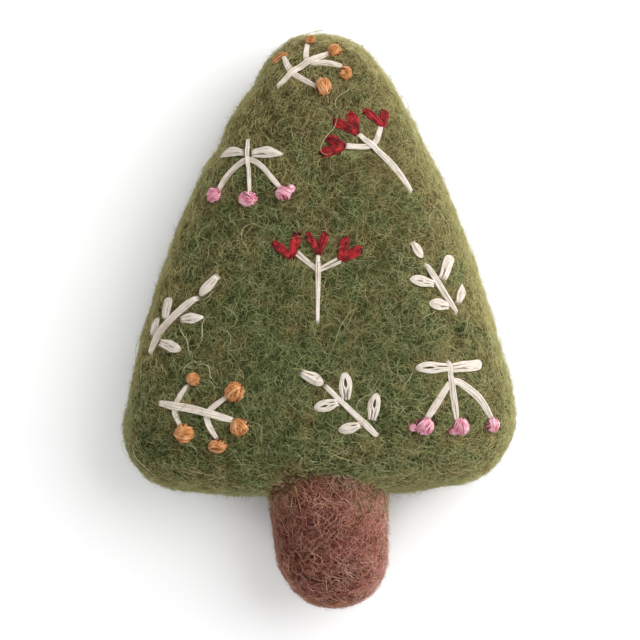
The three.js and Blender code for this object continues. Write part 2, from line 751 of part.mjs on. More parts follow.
// The origin lies under the middle of the whole ornament, on the surface that it rests on
const box = new THREE.Box3().setFromObject(ornament);
const middle = box.getCenter(new THREE.Vector3());
ornament.position.set(-middle.x, -middle.y, -box.min.z);
ornament.updateMatrixWorld(true);

export default ornament;
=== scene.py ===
import math

import bpy
import numpy as np
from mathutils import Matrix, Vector, noise
from mathutils.bvhtree import BVHTree


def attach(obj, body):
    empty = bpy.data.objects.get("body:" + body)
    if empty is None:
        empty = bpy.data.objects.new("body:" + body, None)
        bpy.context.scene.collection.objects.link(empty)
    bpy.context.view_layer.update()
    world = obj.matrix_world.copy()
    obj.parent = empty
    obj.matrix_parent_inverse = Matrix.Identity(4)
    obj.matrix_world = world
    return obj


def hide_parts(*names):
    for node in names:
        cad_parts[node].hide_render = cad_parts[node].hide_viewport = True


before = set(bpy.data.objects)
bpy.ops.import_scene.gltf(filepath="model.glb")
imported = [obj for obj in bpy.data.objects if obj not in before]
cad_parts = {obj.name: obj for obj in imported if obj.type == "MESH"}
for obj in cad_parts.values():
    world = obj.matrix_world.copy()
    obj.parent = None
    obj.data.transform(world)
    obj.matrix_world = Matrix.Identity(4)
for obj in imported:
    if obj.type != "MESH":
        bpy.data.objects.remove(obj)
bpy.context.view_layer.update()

MM = 0.001
rng = np.random.default_rng(11)
scene = bpy.context.scene

# Camera: straight above the ornament, which lies on its back
EYE_HEIGHT = 1000.0
EDGE_HEIGHT = 12.0
VIEW_WIDTH = 115.2  # seen across the picture, at the height of the crown's widest line
VIEW_CENTRE = (0.14, -0.02)
SENSOR = 36.0

# Crown: what its CAD solid doesn't say by itself
HEART = np.array([0.05, -2.5])
FRONT_RISE = 12.0
DOME_RISE = 2.0
FRONT_GROW = -0.2  # the ground of the stitches lies up to this far under the solid's front
FRONT_RIM = 0.45
BACK_RIM = 0.6
SQUARENESS = 2.2
CORE_DEPTH = 3.9
COAT_DEPTH = 0.55  # room left for the loose fibres, inside the solids' surface

# Trunk
TRUNK_WIDTH = 20.4
TRUNK_THICKNESS = 17.5
TRUNK_LENGTH = 19.9
TRUNK_END = 10.4
TRUNK_FLARE = 1.09
TRUNK_HEIGHT = 11.6
TRUNK_TOP = np.array([1.55, -31.8])  # where its line meets the crown's underside
TRUNK_LEAN = math.radians(4)

# Floss
STRAND = 0.27  # thickness of one strand
PLY_PITCH = 0.9  # length in which a strand's two plies wind once round each other
PLY_DEPTH = 0.04
FINE_STEM = 0.75
STEM_WIDTH = 1.02
FULL_STEM = 1.2
WIDE_STEM = 1.35
BRANCH_WIDTH = 0.95
WIND = 0.085  # thickness of the orange knots' strands, for their size
FINE_WIND = 0.06  # the same for the pink knots
CLIMB = 0.35  # of a stitch over another
SEWN_IN = 0.8  # depth of the floss at the ends of a stitch
SEWN_RUN = 0.5  # length in which it goes down
RUN = 2.2  # length in which a stem is gathered
PETAL = {"gather": (0.42, 0.5), "runs": (2.6, 1.3), "lift": 0.16, "ragged": 0.5}


# Meshes and materials


def linear(code):
    """A colour code such as 5b6b2f as a linear colour."""
    parts = [int(code[i : i + 2], 16) / 255 for i in (0, 2, 4)]
    return [p / 12.92 if p <= 0.04045 else ((p + 0.055) / 1.055) ** 2.4 for p in parts] + [1.0]


def new_object(name, data):
    made = bpy.data.objects.new(name, data)
    scene.collection.objects.link(made)
    return made


def new_piece(name, mesh, material, replaces=()):
    piece = new_object(name, mesh)
    mesh.materials.append(material)
    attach(piece, "root")
    if replaces:
        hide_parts(*replaces)
    return piece


def mesh_of(name, points, faces):
    mesh = bpy.data.meshes.new(name)
    mesh.from_pydata((np.asarray(points) * MM).tolist(), [], faces)
    mesh.polygons.foreach_set("use_smooth", [True] * len(mesh.polygons))
    mesh.update()
    return mesh


def normals_of(mesh):
    values = np.empty(len(mesh.vertices) * 3, np.float32)
    mesh.vertex_normals.foreach_get("vector", values)
    return values.reshape(-1, 3).astype(float)


def unit(vectors):
    return vectors / np.maximum(np.linalg.norm(vectors, axis=-1, keepdims=True), 1e-9)


def lumps(points, size, seed):
    """Smooth noise from -1 to 1 with lumps of about that size."""
    offset = Vector((17.3 * seed, 5.1 * seed, 9.7 * seed))
    return np.array([noise.noise(Vector(p) / size + offset) for p in points])


class Nodes:
    """The node tree of a material or of the world."""

    def __init__(self, owner):
        owner.use_nodes = True
        self.owner = owner
        self.tree = owner.node_tree
        self.shader = self.tree.nodes.get("Principled BSDF")

    def add(self, kind, inputs=None, **settings):
        node = self.tree.nodes.new(kind)
        for key, value in settings.items():
            setattr(node, key, value)
        for key, value in (inputs or {}).items():
            if isinstance(value, bpy.types.NodeSocket):
                self.tree.links.new(value, node.inputs[key])
            else:
                node.inputs[key].default_value = value
        return node

    def ramp(self, factor, positions, codes):
        node = self.add("ShaderNodeValToRGB", {"Fac": factor})
        elements = node.color_ramp.elements
        while len(elements) < len(positions):
            elements.new(0.5)
        for element, position, code in zip(elements, positions, codes.split()):
            element.position = position
            element.color = linear(code)
        return node.outputs["Color"]

    def tinted(self, share, colour, tint):
        inputs = {0: share, 6: colour, 7: tint}
        return self.add("ShaderNodeMix", inputs, data_type="RGBA", blend_type="MULTIPLY").outputs[2]

    def noise(self, vector, scale, detail=3.0, distortion=0.0):
        inputs = {"Vector": vector, "Scale": scale, "Detail": detail, "Distortion": distortion}
        return self.add("ShaderNodeTexNoise", inputs).outputs["Fac"]

    def millimetres(self):
        coordinates = self.add("ShaderNodeTexCoord").outputs["Object"]
        inputs = {0: coordinates, "Scale": 1 / MM}
        return self.add("ShaderNodeVectorMath", inputs, operation="SCALE").outputs[0]

    def map_parts(self, name):
        """A map's coordinates, together and apart."""
        place = self.add("ShaderNodeUVMap", uv_map=name).outputs["UV"]
        parts = self.add("ShaderNodeSeparateXYZ", {"Vector": place}).outputs
        return place, parts["X"], parts["Y"]

    def math(self, operation, first, second):
        return self.add("ShaderNodeMath", {0: first, 1: second}, operation=operation).outputs[0]

    def bump(self, height, strength, distance):
        values = {"Height": height, "Strength": strength, "Distance": distance * MM}
        self.link(self.add("ShaderNodeBump", values).outputs["Normal"], "Normal")

    def link(self, output, name):
        self.tree.links.new(output, self.shader.inputs[name])

    def set(self, **values):
        for name, value in values.items():
            self.shader.inputs[name.replace("_", " ")].default_value = value


def felt_material(name, positions, codes, shade, sheen):
    """Matted wool: colour patches kept in the mesh, mottled by tangled noise, with painted shade in the
    hollows of its bumps.
    """
    nodes = Nodes(bpy.data.materials.new(name))
    place = nodes.millimetres()
    patch = nodes.add("ShaderNodeAttribute", attribute_name="patch").outputs["Fac"]
    mottle = nodes.noise(place, scale=0.7, detail=4.0, distortion=1.5)
    fine = nodes.noise(place, scale=3.2, detail=3.0, distortion=2.5)
    wavy = nodes.math("ADD", patch, nodes.math("MULTIPLY", mottle, 0.5))
    colour = nodes.ramp(nodes.math("SUBTRACT", wavy, 0.25), positions, codes)
    # Painted shade where the fine noise, which also lowers the bump, is low
    dark = nodes.ramp(fine, (0.3, 0.6), shade + " ffffff")
    nodes.link(nodes.tinted(0.55, colour, dark), "Base Color")
    nodes.bump(nodes.math("ADD", mottle, fine), strength=0.7, distance=0.3)
    nodes.set(Roughness=0.95, Specular_IOR_Level=0.1)
    nodes.set(Sheen_Weight=0.25, Sheen_Roughness=0.6, Sheen_Tint=linear(sheen))
    return nodes.owner


def fibre_material(name, positions, codes):
    """Loose fibres: the map's first coordinate holds each fibre's tone, the second runs along it; both
    ends, where a fibre dips into the felt, are darkened as painted shade.
    """
    nodes = Nodes(bpy.data.materials.new(name))
    _, tone, along = nodes.map_parts("OFBake")
    colour = nodes.ramp(tone, positions, codes)
    # Painted shade towards both ends, where the fibre dips into the felt
    ends = nodes.ramp(along, (0.0, 0.3, 0.7, 1.0), "b8b8b8 ffffff ffffff c8c8c8")
    nodes.link(nodes.tinted(1.0, colour, ends), "Base Color")
    nodes.set(Roughness=0.7, Specular_IOR_Level=0.2)
    return nodes.owner


def floss_material(name, codes, crease_shade, sheen):
    """Stranded cotton: streaks along each strand, painted shade on the strands' sides and undersides
    where they meet, with a silky sheen.
    """
    nodes = Nodes(bpy.data.materials.new(name))
    place, _, upward = nodes.map_parts("strand")
    drawn = nodes.add("ShaderNodeVectorMath", {0: place, 1: (0.9, 4.0, 1.0)}, operation="MULTIPLY")
    streak = nodes.noise(drawn.outputs[0], scale=1.0, detail=3.0)
    blotch = nodes.noise(nodes.millimetres(), scale=0.9, detail=2.0)
    level = nodes.math("ADD", nodes.math("MULTIPLY", blotch, 0.5), nodes.math("MULTIPLY", streak, 0.5))
    colour = nodes.ramp(level, (0.38, 0.5, 0.62), codes)
    # Painted shade on the sides and undersides of each strand
    crevice_shade = nodes.ramp(upward, (0.35, 0.85), crease_shade + " ffffff")
    nodes.link(nodes.tinted(1.0, colour, crevice_shade), "Base Color")
    nodes.bump(streak, strength=0.3, distance=0.05)
    nodes.set(Roughness=0.6, Specular_IOR_Level=0.3)
    nodes.set(Sheen_Weight=0.3, Sheen_Roughness=0.4, Sheen_Tint=linear(sheen))
    return nodes.owner


# Felts: colours of their patches, which in the green and brown felts are dark partly as painted shade
# under the loose fibres; tint of the painted shade in their hollows; and sheen
FELTS = {
    "green_felt": ((0.1, 0.4, 0.7, 0.95), "3b4623 545c35 635e3a 766e48", "6a7050", "c9cf9a"),
    "brown_felt": ((0.1, 0.45, 0.75, 0.95), "4b2c25 6a4237 815245 946556", "7a6058", "d8b0a0"),
    "core_wool": ((0.1, 0.5, 0.9), "c9bca0 ded3bd e8dfcc", "b0a890", "efe8d8"),
}
# Fibres: the felt that each kind belongs to, and its colours by tone
EVEN = (0.0, 0.35, 0.65, 1.0)
SHORT = (0.0, 0.5, 1.0)
FIBRES = {
    "green": ("green_felt", EVEN, "2c3a19 5b6937 879058 bfc48b"),
    "olive": ("green_felt", EVEN, "4a3e22 7a6b40 a49660 cdc48a"),
    "pale": ("green_felt", (0.0, 0.4, 0.75, 1.0), "878550 b4b176 d2cd98 e7e3c4"),
    "brown": ("brown_felt", EVEN, "301612 6c3a2e a3634f d8a084"),
    "mauve": ("brown_felt", EVEN, "3a1616 803e3a b2645c e0a294"),
    "rosy": ("brown_felt", SHORT, "a06c5c cc9c8a e8c4b2"),
    "tan": ("brown_felt", SHORT, "84685a b89a88 e0cab8"),
}
# Floss: its colours from dark to light, tint of the painted shade in the creases, and sheen
FLOSSES = {
    "cream": ("d6c9ba e1d6c9 e8dfd4", "dcd0c4", "fff6ec"),
    "red": ("450508 840e13 c02c2e", "3c0c0c", "b04040"),
    "pink": ("c8687f e8a0b1 fad9e0", "7c3040", "ffe8ee"),
    "orange": ("a4622c c68852 e2aa7c", "80421f", "ffd9a8"),
}
felt_looks = {name: felt_material(name, *look) for name, look in FELTS.items()}
fibre_looks = {kind: fibre_material(kind + "_fibre", *look[1:]) for kind, look in FIBRES.items()}
floss_looks = {colour: floss_material(colour + "_floss", *look) for colour, look in FLOSSES.items()}

# Crown form, over the outline of the CAD solid


def hull(points):
    """Corners of the smallest convex outline round the points, counter-clockwise."""
    ordered = sorted({(round(float(x), 4), round(float(y), 4)) for x, y in points})
    chains = []
    for side in (ordered, ordered[::-1]):
        chain = []
        for p in side:
            while len(chain) > 1:
                (ax, ay), (bx, by) = chain[-2], chain[-1]
                if (bx - ax) * (p[1] - ay) - (by - ay) * (p[0] - ax) > 1e-6:
                    break
                chain.pop()
            chain.append(p)
        chains += chain[:-1]
    return np.array(chains)


def smooth_loop(points, steps):
    """A closed smooth curve through the points."""
    before, after, beyond = (np.roll(points, k, axis=0) for k in (1, -1, -2))
    rows = []
    for t in np.arange(steps) / steps:
        start = -0.5 * t + t**2 - 0.5 * t**3
        here = 1 - 2.5 * t**2 + 1.5 * t**3
        there = 0.5 * t + 2 * t**2 - 1.5 * t**3
        last = -0.5 * t**2 + 0.5 * t**3
        rows.append(start * before + here * points + there * after + last * beyond)
    return np.stack(rows, axis=1).reshape(-1, 2)


crown_points = np.array([v.co[:2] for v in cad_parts["crown_felt"].data.vertices]) / MM
edge = smooth_loop(hull(crown_points), 8) - HEART
edge_bearing = np.arctan2(edge[:, 1], edge[:, 0])
edge_reach = np.hypot(edge[:, 0], edge[:, 1])


def reach(bearing):
    order = np.argsort(edge_bearing)
    return np.interp(bearing, edge_bearing[order], edge_reach[order], period=2 * math.pi)


def way_out(x, y):
    """Share of the way from the crown's heart to its edge, and the bearing."""
    bearing = np.arctan2(y - HEART[1], x - HEART[0])
    return np.hypot(x - HEART[0], y - HEART[1]) / reach(bearing), bearing


def front_at(share, grow=0.0):
    over = np.clip((share - FRONT_RIM) / (1 - FRONT_RIM), 0, 1)
    bend = (1 - over**SQUARENESS) ** (1 / SQUARENESS)
    return EDGE_HEIGHT + (FRONT_RISE + grow) * bend + DOME_RISE * (1 - np.minimum(1, share) ** 2)


def front_height(x, y):
    return front_at(way_out(x, y)[0], FRONT_GROW)


def front_frames(plan):
    """Points and normals of the smooth front under points of a plan."""
    x, y = plan[:, 0], plan[:, 1]
    step = 0.1
    slope_x = (front_height(x + step, y) - front_height(x - step, y)) / (2 * step)
    slope_y = (front_height(x, y + step) - front_height(x, y - step)) / (2 * step)
    normal = unit(np.stack([-slope_x, -slope_y, np.ones(len(x))], axis=1))
    return np.column_stack([plan, front_height(x, y)]), normal


def profile(grow, spacing):
    """Share of the way out and height, from the middle of the back to the middle of the front."""
    turn = np.linspace(0, math.pi / 2, 200)
    out = np.sin(turn) ** (2 / SQUARENESS)
    down = np.cos(turn) ** (2 / SQUARENESS)
    back_share = np.concatenate([np.linspace(0, BACK_RIM, 100), BACK_RIM + (1 - BACK_RIM) * out])
    back_height = np.concatenate([np.full(100, -grow), EDGE_HEIGHT - (EDGE_HEIGHT + grow) * down])
    front_share = [(FRONT_RIM + (1 - FRONT_RIM) * out)[::-1], np.linspace(FRONT_RIM, 0, 100)]
    front_share = np.concatenate(front_share)
    share = np.concatenate([back_share, front_share])
    height = np.concatenate([back_height, front_at(front_share, grow)])
    steps = np.hypot(np.diff(share) * edge_reach.mean(), np.diff(height))
    length = np.concatenate([[0], np.cumsum(steps)])
    along = np.linspace(0, length[-1], int(length[-1] / spacing))
    return np.interp(along, length, share), np.interp(along, length, height)


def padding(grow, spacing):
    """Points and faces of the crown's padded form, grown all round."""
    shares, heights = profile(grow, spacing)
    count = int(2 * math.pi * edge_reach.mean() * 1.1 / spacing)
    bearing = np.linspace(-math.pi, math.pi, count, endpoint=False)
    direction = np.stack([np.cos(bearing), np.sin(bearing)], axis=1)
    radius = reach(bearing)[:, None] + grow
    rings = []
    for share, height in zip(shares[1:-1], heights[1:-1]):
        rings.append(np.column_stack([HEART + direction * radius * share, np.full(count, height)]))
    poles = [np.append(HEART, heights[0]), np.append(HEART, heights[-1])]
    points = np.vstack(rings + [poles[0], poles[1]])
    return points, loft_faces(count, len(rings))


def loft_faces(count, rings):
    """Faces through rings of equal count, closed by a pole at each end, which come last."""
    faces = []
    for ring in range(rings - 1):
        low, high = ring * count, (ring + 1) * count
        for i in range(count):
            j = (i + 1) % count
            faces.append((low + i, low + j, high + j, high + i))
    first, last = rings * count, rings * count + 1
    top = (rings - 1) * count
    for i in range(count):
        j = (i + 1) % count
        faces.append((first, j, i))
        faces.append((last, top + i, top + j))
    return faces


# Charts of the sprigs: each stands at a place on the front, and its points are millimetres from there

BERRY_SPRIGS = {
    "top_berry_sprig": {
        "at": (-7.5, 41.45),
        "stem": [(0, 0.2), (4.2, 3.9), (9.5, 6.4)],
        "width": STEM_WIDTH,
        "branches": [
            [(1.1, 5.8), (1.8, 4.0), (2.6, 2.6), (4.4, 1.5), (7.0, 0.1)],
            [(5.4, 8.0), (4.9, 5.1), (6.4, 4.3), (8.6, 4.6), (11.5, 3.9)],
        ],
        "knots": [
            (10.2, 6.5, 2.4, 1.0), None, (8.2, 0.0, 3.2, 0.85),
            (6.0, 8.4, 1.7, 1.0), (12.1, 2.4, 2.5, 0.85),
        ],
        "seed": [(-0.8, 4.7), (1.6, 6.3)],
    },
    "lower_berry_sprig": {
        "at": (-28.5, -14.75),
        "stem": [(0, 0), (6.4, -1.2), (13.0, -3.0)],
        "width": WIDE_STEM,
        "branches": [
            [(4.9, 3.0), (3.4, 0.6), (2.6, -1.5), (3.7, -4.0)],
            [(12.1, 1.1), (8.8, -1.2), (8.3, -3.0), (10.3, -6.3)],
        ],
        "knots": [
            (14.3, -4.2, 3.2, 1.0), (6.2, 4.2, 2.3, 1.0), (4.6, -5.3, 3.3, 1.05),
            (13.4, 2.0, 3.5, 1.0), (10.4, -7.5, 2.4, 1.4),
        ],
    },
}

BUD_SPRIGS = {
    "upper_bud_sprig": {
        "at": (16.3, 22.95),
        "stem": [(0.1, 0), (-2.3, 3.6), (-5.0, 6.3), (-9.2, 10.1)],
        "width": STEM_WIDTH,
        "fork": [(-11.6, 8.0), (-6.3, 7.7), (-5.3, 11.6)],
        "prong": 0.52,
        "split": 0.0,
        "buds": {
            "left": [(-11.7, 7.9), (-14.8, 9.5, 1.7), (-16.0, 6.6, 1.7)],
            "middle": [(-9.6, 10.2), (-10.8, 13.9, 2.0), (-13.7, 12.5, 1.7)],
            "right": [(-5.0, 11.5), (-8.1, 14.4, 1.35), (-4.6, 14.5, 1.75)],
        },
    },
    "middle_bud_sprig": {
        "at": (-0.3, -0.35),
        "stem": [(0, 0), (0.1, 11.8)],
        "width": FINE_STEM,
        "fork": [(-3.8, 12.3), (-0.7, 9.7), (0.1, 9.1), (0.9, 9.5), (4.3, 11.2)],
        "prong": 0.42,
        "split": 0.2,
        "buds": {
            "left": [(-4.6, 11.3), (-7.8, 14.0, 1.6), (-3.6, 15.7, 1.8)],
            "middle": [(0.2, 12.1), (-1.8, 15.7, 1.4), (1.5, 15.7, 1.45)],
            "right": [(4.0, 11.0), (5.0, 15.0, 1.8), (7.8, 13.1, 1.9)],
        },
    },
}

TRIOS = {
    "upper_trio": {
        "at": (-12.7, 32.05),
        "stem": [(0, 0.2), (0.3, -9.6)],
        "width": FINE_STEM,
        "sides": [
            (-5.3, -9.0), (-3.9, -6.5), (-2.2, -4.7), (0, -3.3), (2.2, -4.4), (3.9, -6.3), (5.7, -8.5)
        ],
        "side_width": BRANCH_WIDTH,
        "bow": [(-0.6, -2.3, -5.1, -3.0, 1.8, "point"), (0.6, -2.5, 6.4, -2.7, 2.2, "point")],
        "arch": 0.45,
        "knots": {
            "left": [(-5.9, -9.9, 2.6, 1.0)],
            "middle": [(0.1, -10.6, 2.6, 1.3)],
            "right": [(6.4, -9.6, 2.5, 1.1), (7.7, -8.8, 1.5, 1.0)],
        },
    },
    "lower_trio": {
        "at": (22.9, -7.45),
        "stem": [(0.1, 0), (1.6, -10.6)],
        "width": STEM_WIDTH,
        "sides": [(-3.8, -10.3), (-1.0, -5.6), (0.9, -3.0), (3.4, -4.6), (5.8, -6.6), (7.8, -10.2)],
        "side_width": FULL_STEM,
        "bow": [(0.3, -1.1, 6.2, -0.4, 2.0, "strap"), (0.3, -1.1, -5.9, -1.1, 2.2, "open")],
        "arch": 0.0,
        "knots": {
            "left": [(-4.2, -11.4, 3.1, 1.0), (-6.2, -11.6, 1.4, 1.2)],
            "middle": [(2.2, -11.5, 3.0, 0.95), (0.9, -12.3, 1.4, 1.2)],
            "right": [(7.8, -11.2, 2.5, 1.0)],
        },
    },
}

# Leaves: base, tip, width and kind; an open one shows the felt in the loop's middle
LEAF_SPRIGS = {
    "right_leaf_sprig": {
        "at": (24.4, 1.05),
        "stem": [(0.1, 0.3), (-5.3, 8.7)],
        "width": STEM_WIDTH,
        "taper": 2.2,
        "leaves": {
            "upper_left": ((-4.0, 5.3), (-8.4, 6.2), 2.0, "open"),
            "upper_right": ((-2.5, 6.1), (-0.9, 10.5), 1.9, "strap"),
            "lower_left": ((-1.2, 1.4), (-4.9, 2.0), 2.1, "oval"),
            "lower_right": ((0.4, 1.9), (1.1, 5.4), 1.6, "point"),
            "end": ((-7.9, 12.8), (-6.0, 10.0), 1.6, "oval"),
        },
    },
    "left_leaf_sprig": {
        "at": (-30.0, -6.05),
        "stem": [(-0.2, 0.1), (1.3, 3.5), (3.6, 6.2), (6.6, 9.0), (8.0, 9.9)],
        "width": FULL_STEM,
        "taper": 2.2,
        "leaves": {
            "upper_left": ((2.6, 6.1), (3.3, 10.1), 1.5, "strap"),
            "upper_right": ((5.3, 6.1), (9.6, 6.5), 2.0, "point"),
            "lower_left": ((0.1, 3.2), (1.3, 6.5), 1.4, "oval"),
            "lower_right": ((1.7, 2.0), (5.4, 0.6), 2.0, "open"),
            "end": ((11.9, 13.9), (8.7, 10.3), 1.8, "oval"),
        },
    },
    "lower_leaf_sprig": {
        "at": (10.2, -20.55),
        "stem": [(0, 0), (-9.0, 8.7)],
        "width": FULL_STEM,
        "taper": 12.5,
        "leaves": {
            "upper_left": ((-6.8, 5.9), (-11.2, 4.8), 2.2, "open"),
            "upper_right": ((-5.5, 6.4), (-5.6, 11.3), 2.4, "open"),
            "lower_left": ((-2.8, 1.9), (-6.8, 0.8), 2.0, "oval"),
            "lower_right": ((-0.8, 2.8), (0.0, 7.6), 2.3, "open"),
            "end": ((-13.4, 11.2), (-9.4, 9.1), 2.2, "oval"),
        },
    },
}


def along_lengths(points):
    return np.concatenate([[0], np.cumsum(np.linalg.norm(np.diff(points, axis=0), axis=1))])


def resampled(points, spacing):
    length = along_lengths(points)
    count = max(8, int(length[-1] / spacing) + 1)
    along = np.linspace(0, length[-1], count)
    return np.stack([np.interp(along, length, points[:, k]) for k in range(points.shape[1])], axis=1)


def rounded(points):
    """A plan with its corners cut three times, at even spacing."""
    points = np.array(points, float)
    for _ in range(3 if len(points) > 2 else 0):
        cut = [points[0]]
        for a, b in zip(points[:-1], points[1:]):
            cut += [a + (b - a) * 0.25, a + (b - a) * 0.75]
        points = np.array(cut + [points[-1]])
    return resampled(points, 0.25)


def smoothstep(x):
    x = np.clip(x, 0, 1)
    return x * x * (3 - 2 * x)


def sides_of(plan):
    heading = unit(np.gradient(plan, axis=0))
    return np.stack([-heading[:, 1], heading[:, 0]], axis=1)


def longer(plan, extra):
    """A plan carried on straight at both ends."""
    first = plan[0] + unit(plan[0] - plan[1]) * extra
    last = plan[-1] + unit(plan[-1] - plan[-2]) * extra
    return resampled(np.vstack([first, plan, last]), 0.25)


class Thread:
    """Collects the strands of one stitch as one mesh."""

    def __init__(self):
        self.points, self.faces, self.maps, self.count = [], [], [], 0

    def strand(self, line, up, radius, sides=8, deep=False):
        """A tube along a line; one that lies deep takes the painted shade of the crevices."""
        line = np.asarray(line, float)
        tangent = unit(np.gradient(line, axis=0))
        side = unit(np.cross(tangent, up))
        above = np.cross(side, tangent)
        length = along_lengths(line)
        turn = np.arange(sides) / sides * 2 * math.pi
        lobes = 1 + PLY_DEPTH * np.cos(2 * (turn[None, :] - length[:, None] / PLY_PITCH * 2 * math.pi))
        size = radius * lobes
        ring = line[:, None] + (size * np.cos(turn))[:, :, None] * side[:, None]
        ring += (size * np.sin(turn))[:, :, None] * above[:, None]
        rings = len(line)
        points = np.vstack([ring.reshape(-1, 3), line[:1], line[-1:]])
        start = self.count
        for face in loft_faces(sides, rings):
            self.faces.append(tuple(start + k for k in face))
        along = rng.uniform(0, 900) + np.append(np.repeat(length, sides), [0, length[-1]])
        upward = np.append(np.tile(0.5 + 0.5 * np.sin(turn), rings), [0.5, 0.5]) * (0.4 if deep else 1)
        self.maps.append(np.column_stack([along, upward]))
        self.points.append(points)
        self.count += len(points)

    def piece(self, node, colour):
        mesh = mesh_of(node, np.vstack(self.points), self.faces)
        mesh.validate()
        index = np.empty(len(mesh.loops), np.int32)
        mesh.loops.foreach_get("vertex_index", index)
        values = np.vstack(self.maps)[index].astype(np.float32)
        mesh.uv_layers.new(name="strand").data.foreach_set("uv", values.ravel())
        return new_piece(node + "_floss", mesh, floss_looks[colour], [node])


def gaps(plan, marks):
    """How far each point is from the nearest mark."""
    return np.linalg.norm(plan[:, None] - marks[None], axis=2).min(axis=1)


seams = []  # plan points under the stitches, where the felt is pulled in
holes = []  # plan points where floss goes into the felt


def bundle(thread, plan, width, gather=(0.55, 0.55), runs=(RUN, RUN), over=(), lift=0.0, ragged=0.1):
    """Strands laid side by side in two rows on the felt, gathered towards the ends and sewn in there."""
    plan = longer(plan, 0.3)
    count = max(3, round(width / STRAND))
    radius = 0.66 * width / count
    base, normal = front_frames(plan)
    side = np.column_stack([sides_of(plan), np.zeros(len(plan))])
    length = along_lengths(plan)
    raised = np.zeros(len(plan))
    for other in over:
        raised = np.maximum(raised, CLIMB * (1 - smoothstep((gaps(plan, other) - 0.4) / 1.2)))
    from_start = np.interp(length, [0, runs[0]], [gather[0], 1])
    from_end = np.interp(length[-1] - length, [0, runs[1]], [gather[1], 1])
    # The lower row lies deep and takes the painted shade of the crevices
    for row, strands in enumerate((count - 1, count)):
        for k in range(strands):
            share = (k - (strands - 1) / 2) / count
            wander = 0.06 * np.sin(length / rng.uniform(1.2, 3.0) + rng.uniform(0, 6))
            across = (share * width + wander) * from_start * from_end
            stack = 0.04 * np.sin(length / rng.uniform(1.0, 2.5) + rng.uniform(0, 6))
            start, end = rng.uniform(0, ragged, 2)
            to_end = np.minimum(length - start, length[-1] - end - length)
            down = SEWN_IN * (1 - smoothstep(to_end / SEWN_RUN))
            height = lift + raised - down + 0.25 * width * (0.25 - share**2) + stack + 0.2 * (row - 1)
            line = base + side * across[:, None] + normal * height[:, None]
            thread.strand(line, normal, radius * rng.uniform(0.9, 1.15), deep=row == 0)
    seams.append(plan)
    holes.extend([plan[0], plan[-1]])


# How far the end of a leaf keeps its width, and how round it is
LEAF_ENDS = {"open": (1.9, 0.6), "oval": (1.9, 0.6), "strap": (7.0, 0.5), "point": (1.1, 0.9)}


def leaf(thread, base, tip, width, kind, arch=0.0):
    """A loop stitch: strands run out along one side, round the tip and back; it may arch upwards."""
    base, tip = np.array(base, float), np.array(tip, float)
    total = np.linalg.norm(tip - base)
    axis = (tip - base) / total
    across = np.array([-axis[1], axis[0]])
    is_open = kind == "open"
    radius = STRAND * (0.7 if is_open else 0.64)
    share = np.linspace(0, 1, 26)
    foot = 0.8 if kind == "strap" else rng.uniform(0.45, 0.65)
    blunt, rounding = LEAF_ENDS[kind]
    swell = foot + (1 - foot) * smoothstep(share / rng.uniform(0.4, 0.6))
    swell *= (1 - np.clip((share - 0.5) / 0.5, 0, 1) ** blunt) ** rounding
    slit = smoothstep((share - 0.3) / 0.35)
    lean = rng.uniform(-0.12, 0.12)
    turns = 3 if is_open else 5
    for k in range(turns):
        half = max(0.06, width / 2 - radius - 1.4 * radius * k)
        length = total - radius - 1.6 * radius * k
        wide = swell * half * (slit if k == 2 else 1)
        wide = np.concatenate([wide * (1 + lean), -wide[-2::-1] * (1 - lean)])
        away = np.concatenate([share, share[-2::-1]]) ** 0.9 * length
        wide += 0.04 * np.sin(away * rng.uniform(1.5, 2.5) + rng.uniform(0, 6))
        plan = resampled(base + away[:, None] * axis + wide[:, None] * across, 0.2)
        depth = (plan - base) @ axis
        plan[:, 1] += arch * np.sin(math.pi * np.clip(depth / total, 0, 1))
        place, normal = front_frames(plan)
        down = SEWN_IN * (1 - smoothstep(depth / SEWN_RUN))
        down += 0.25 * smoothstep((depth - total + 0.9) / 0.9)
        height = 0.15 + 0.07 * k - down + rng.uniform(-0.03, 0.03)
        thread.strand(place + normal * height[:, None], normal, radius * rng.uniform(0.9, 1.1))
    reaches = 0.45 if is_open else 0.8
    middle = resampled(np.array([base, base + axis * total * reaches]), 0.2)
    middle[:, 1] += arch * np.sin(np.linspace(0, reaches * math.pi, len(middle)))
    place, normal = front_frames(middle)
    # In a closed leaf the filling strands lie deep and take the painted shade of the crevices
    for aside in (-0.22, 0.0, 0.22):  # strands that fill the loop
        line = place + np.append(across * aside * width, 0) + normal * (0.1 if is_open else 0.02)
        thread.strand(line, normal, radius, deep=not is_open)
    seams.append(resampled(np.array([base, tip]), 0.4))
    holes.append(base)


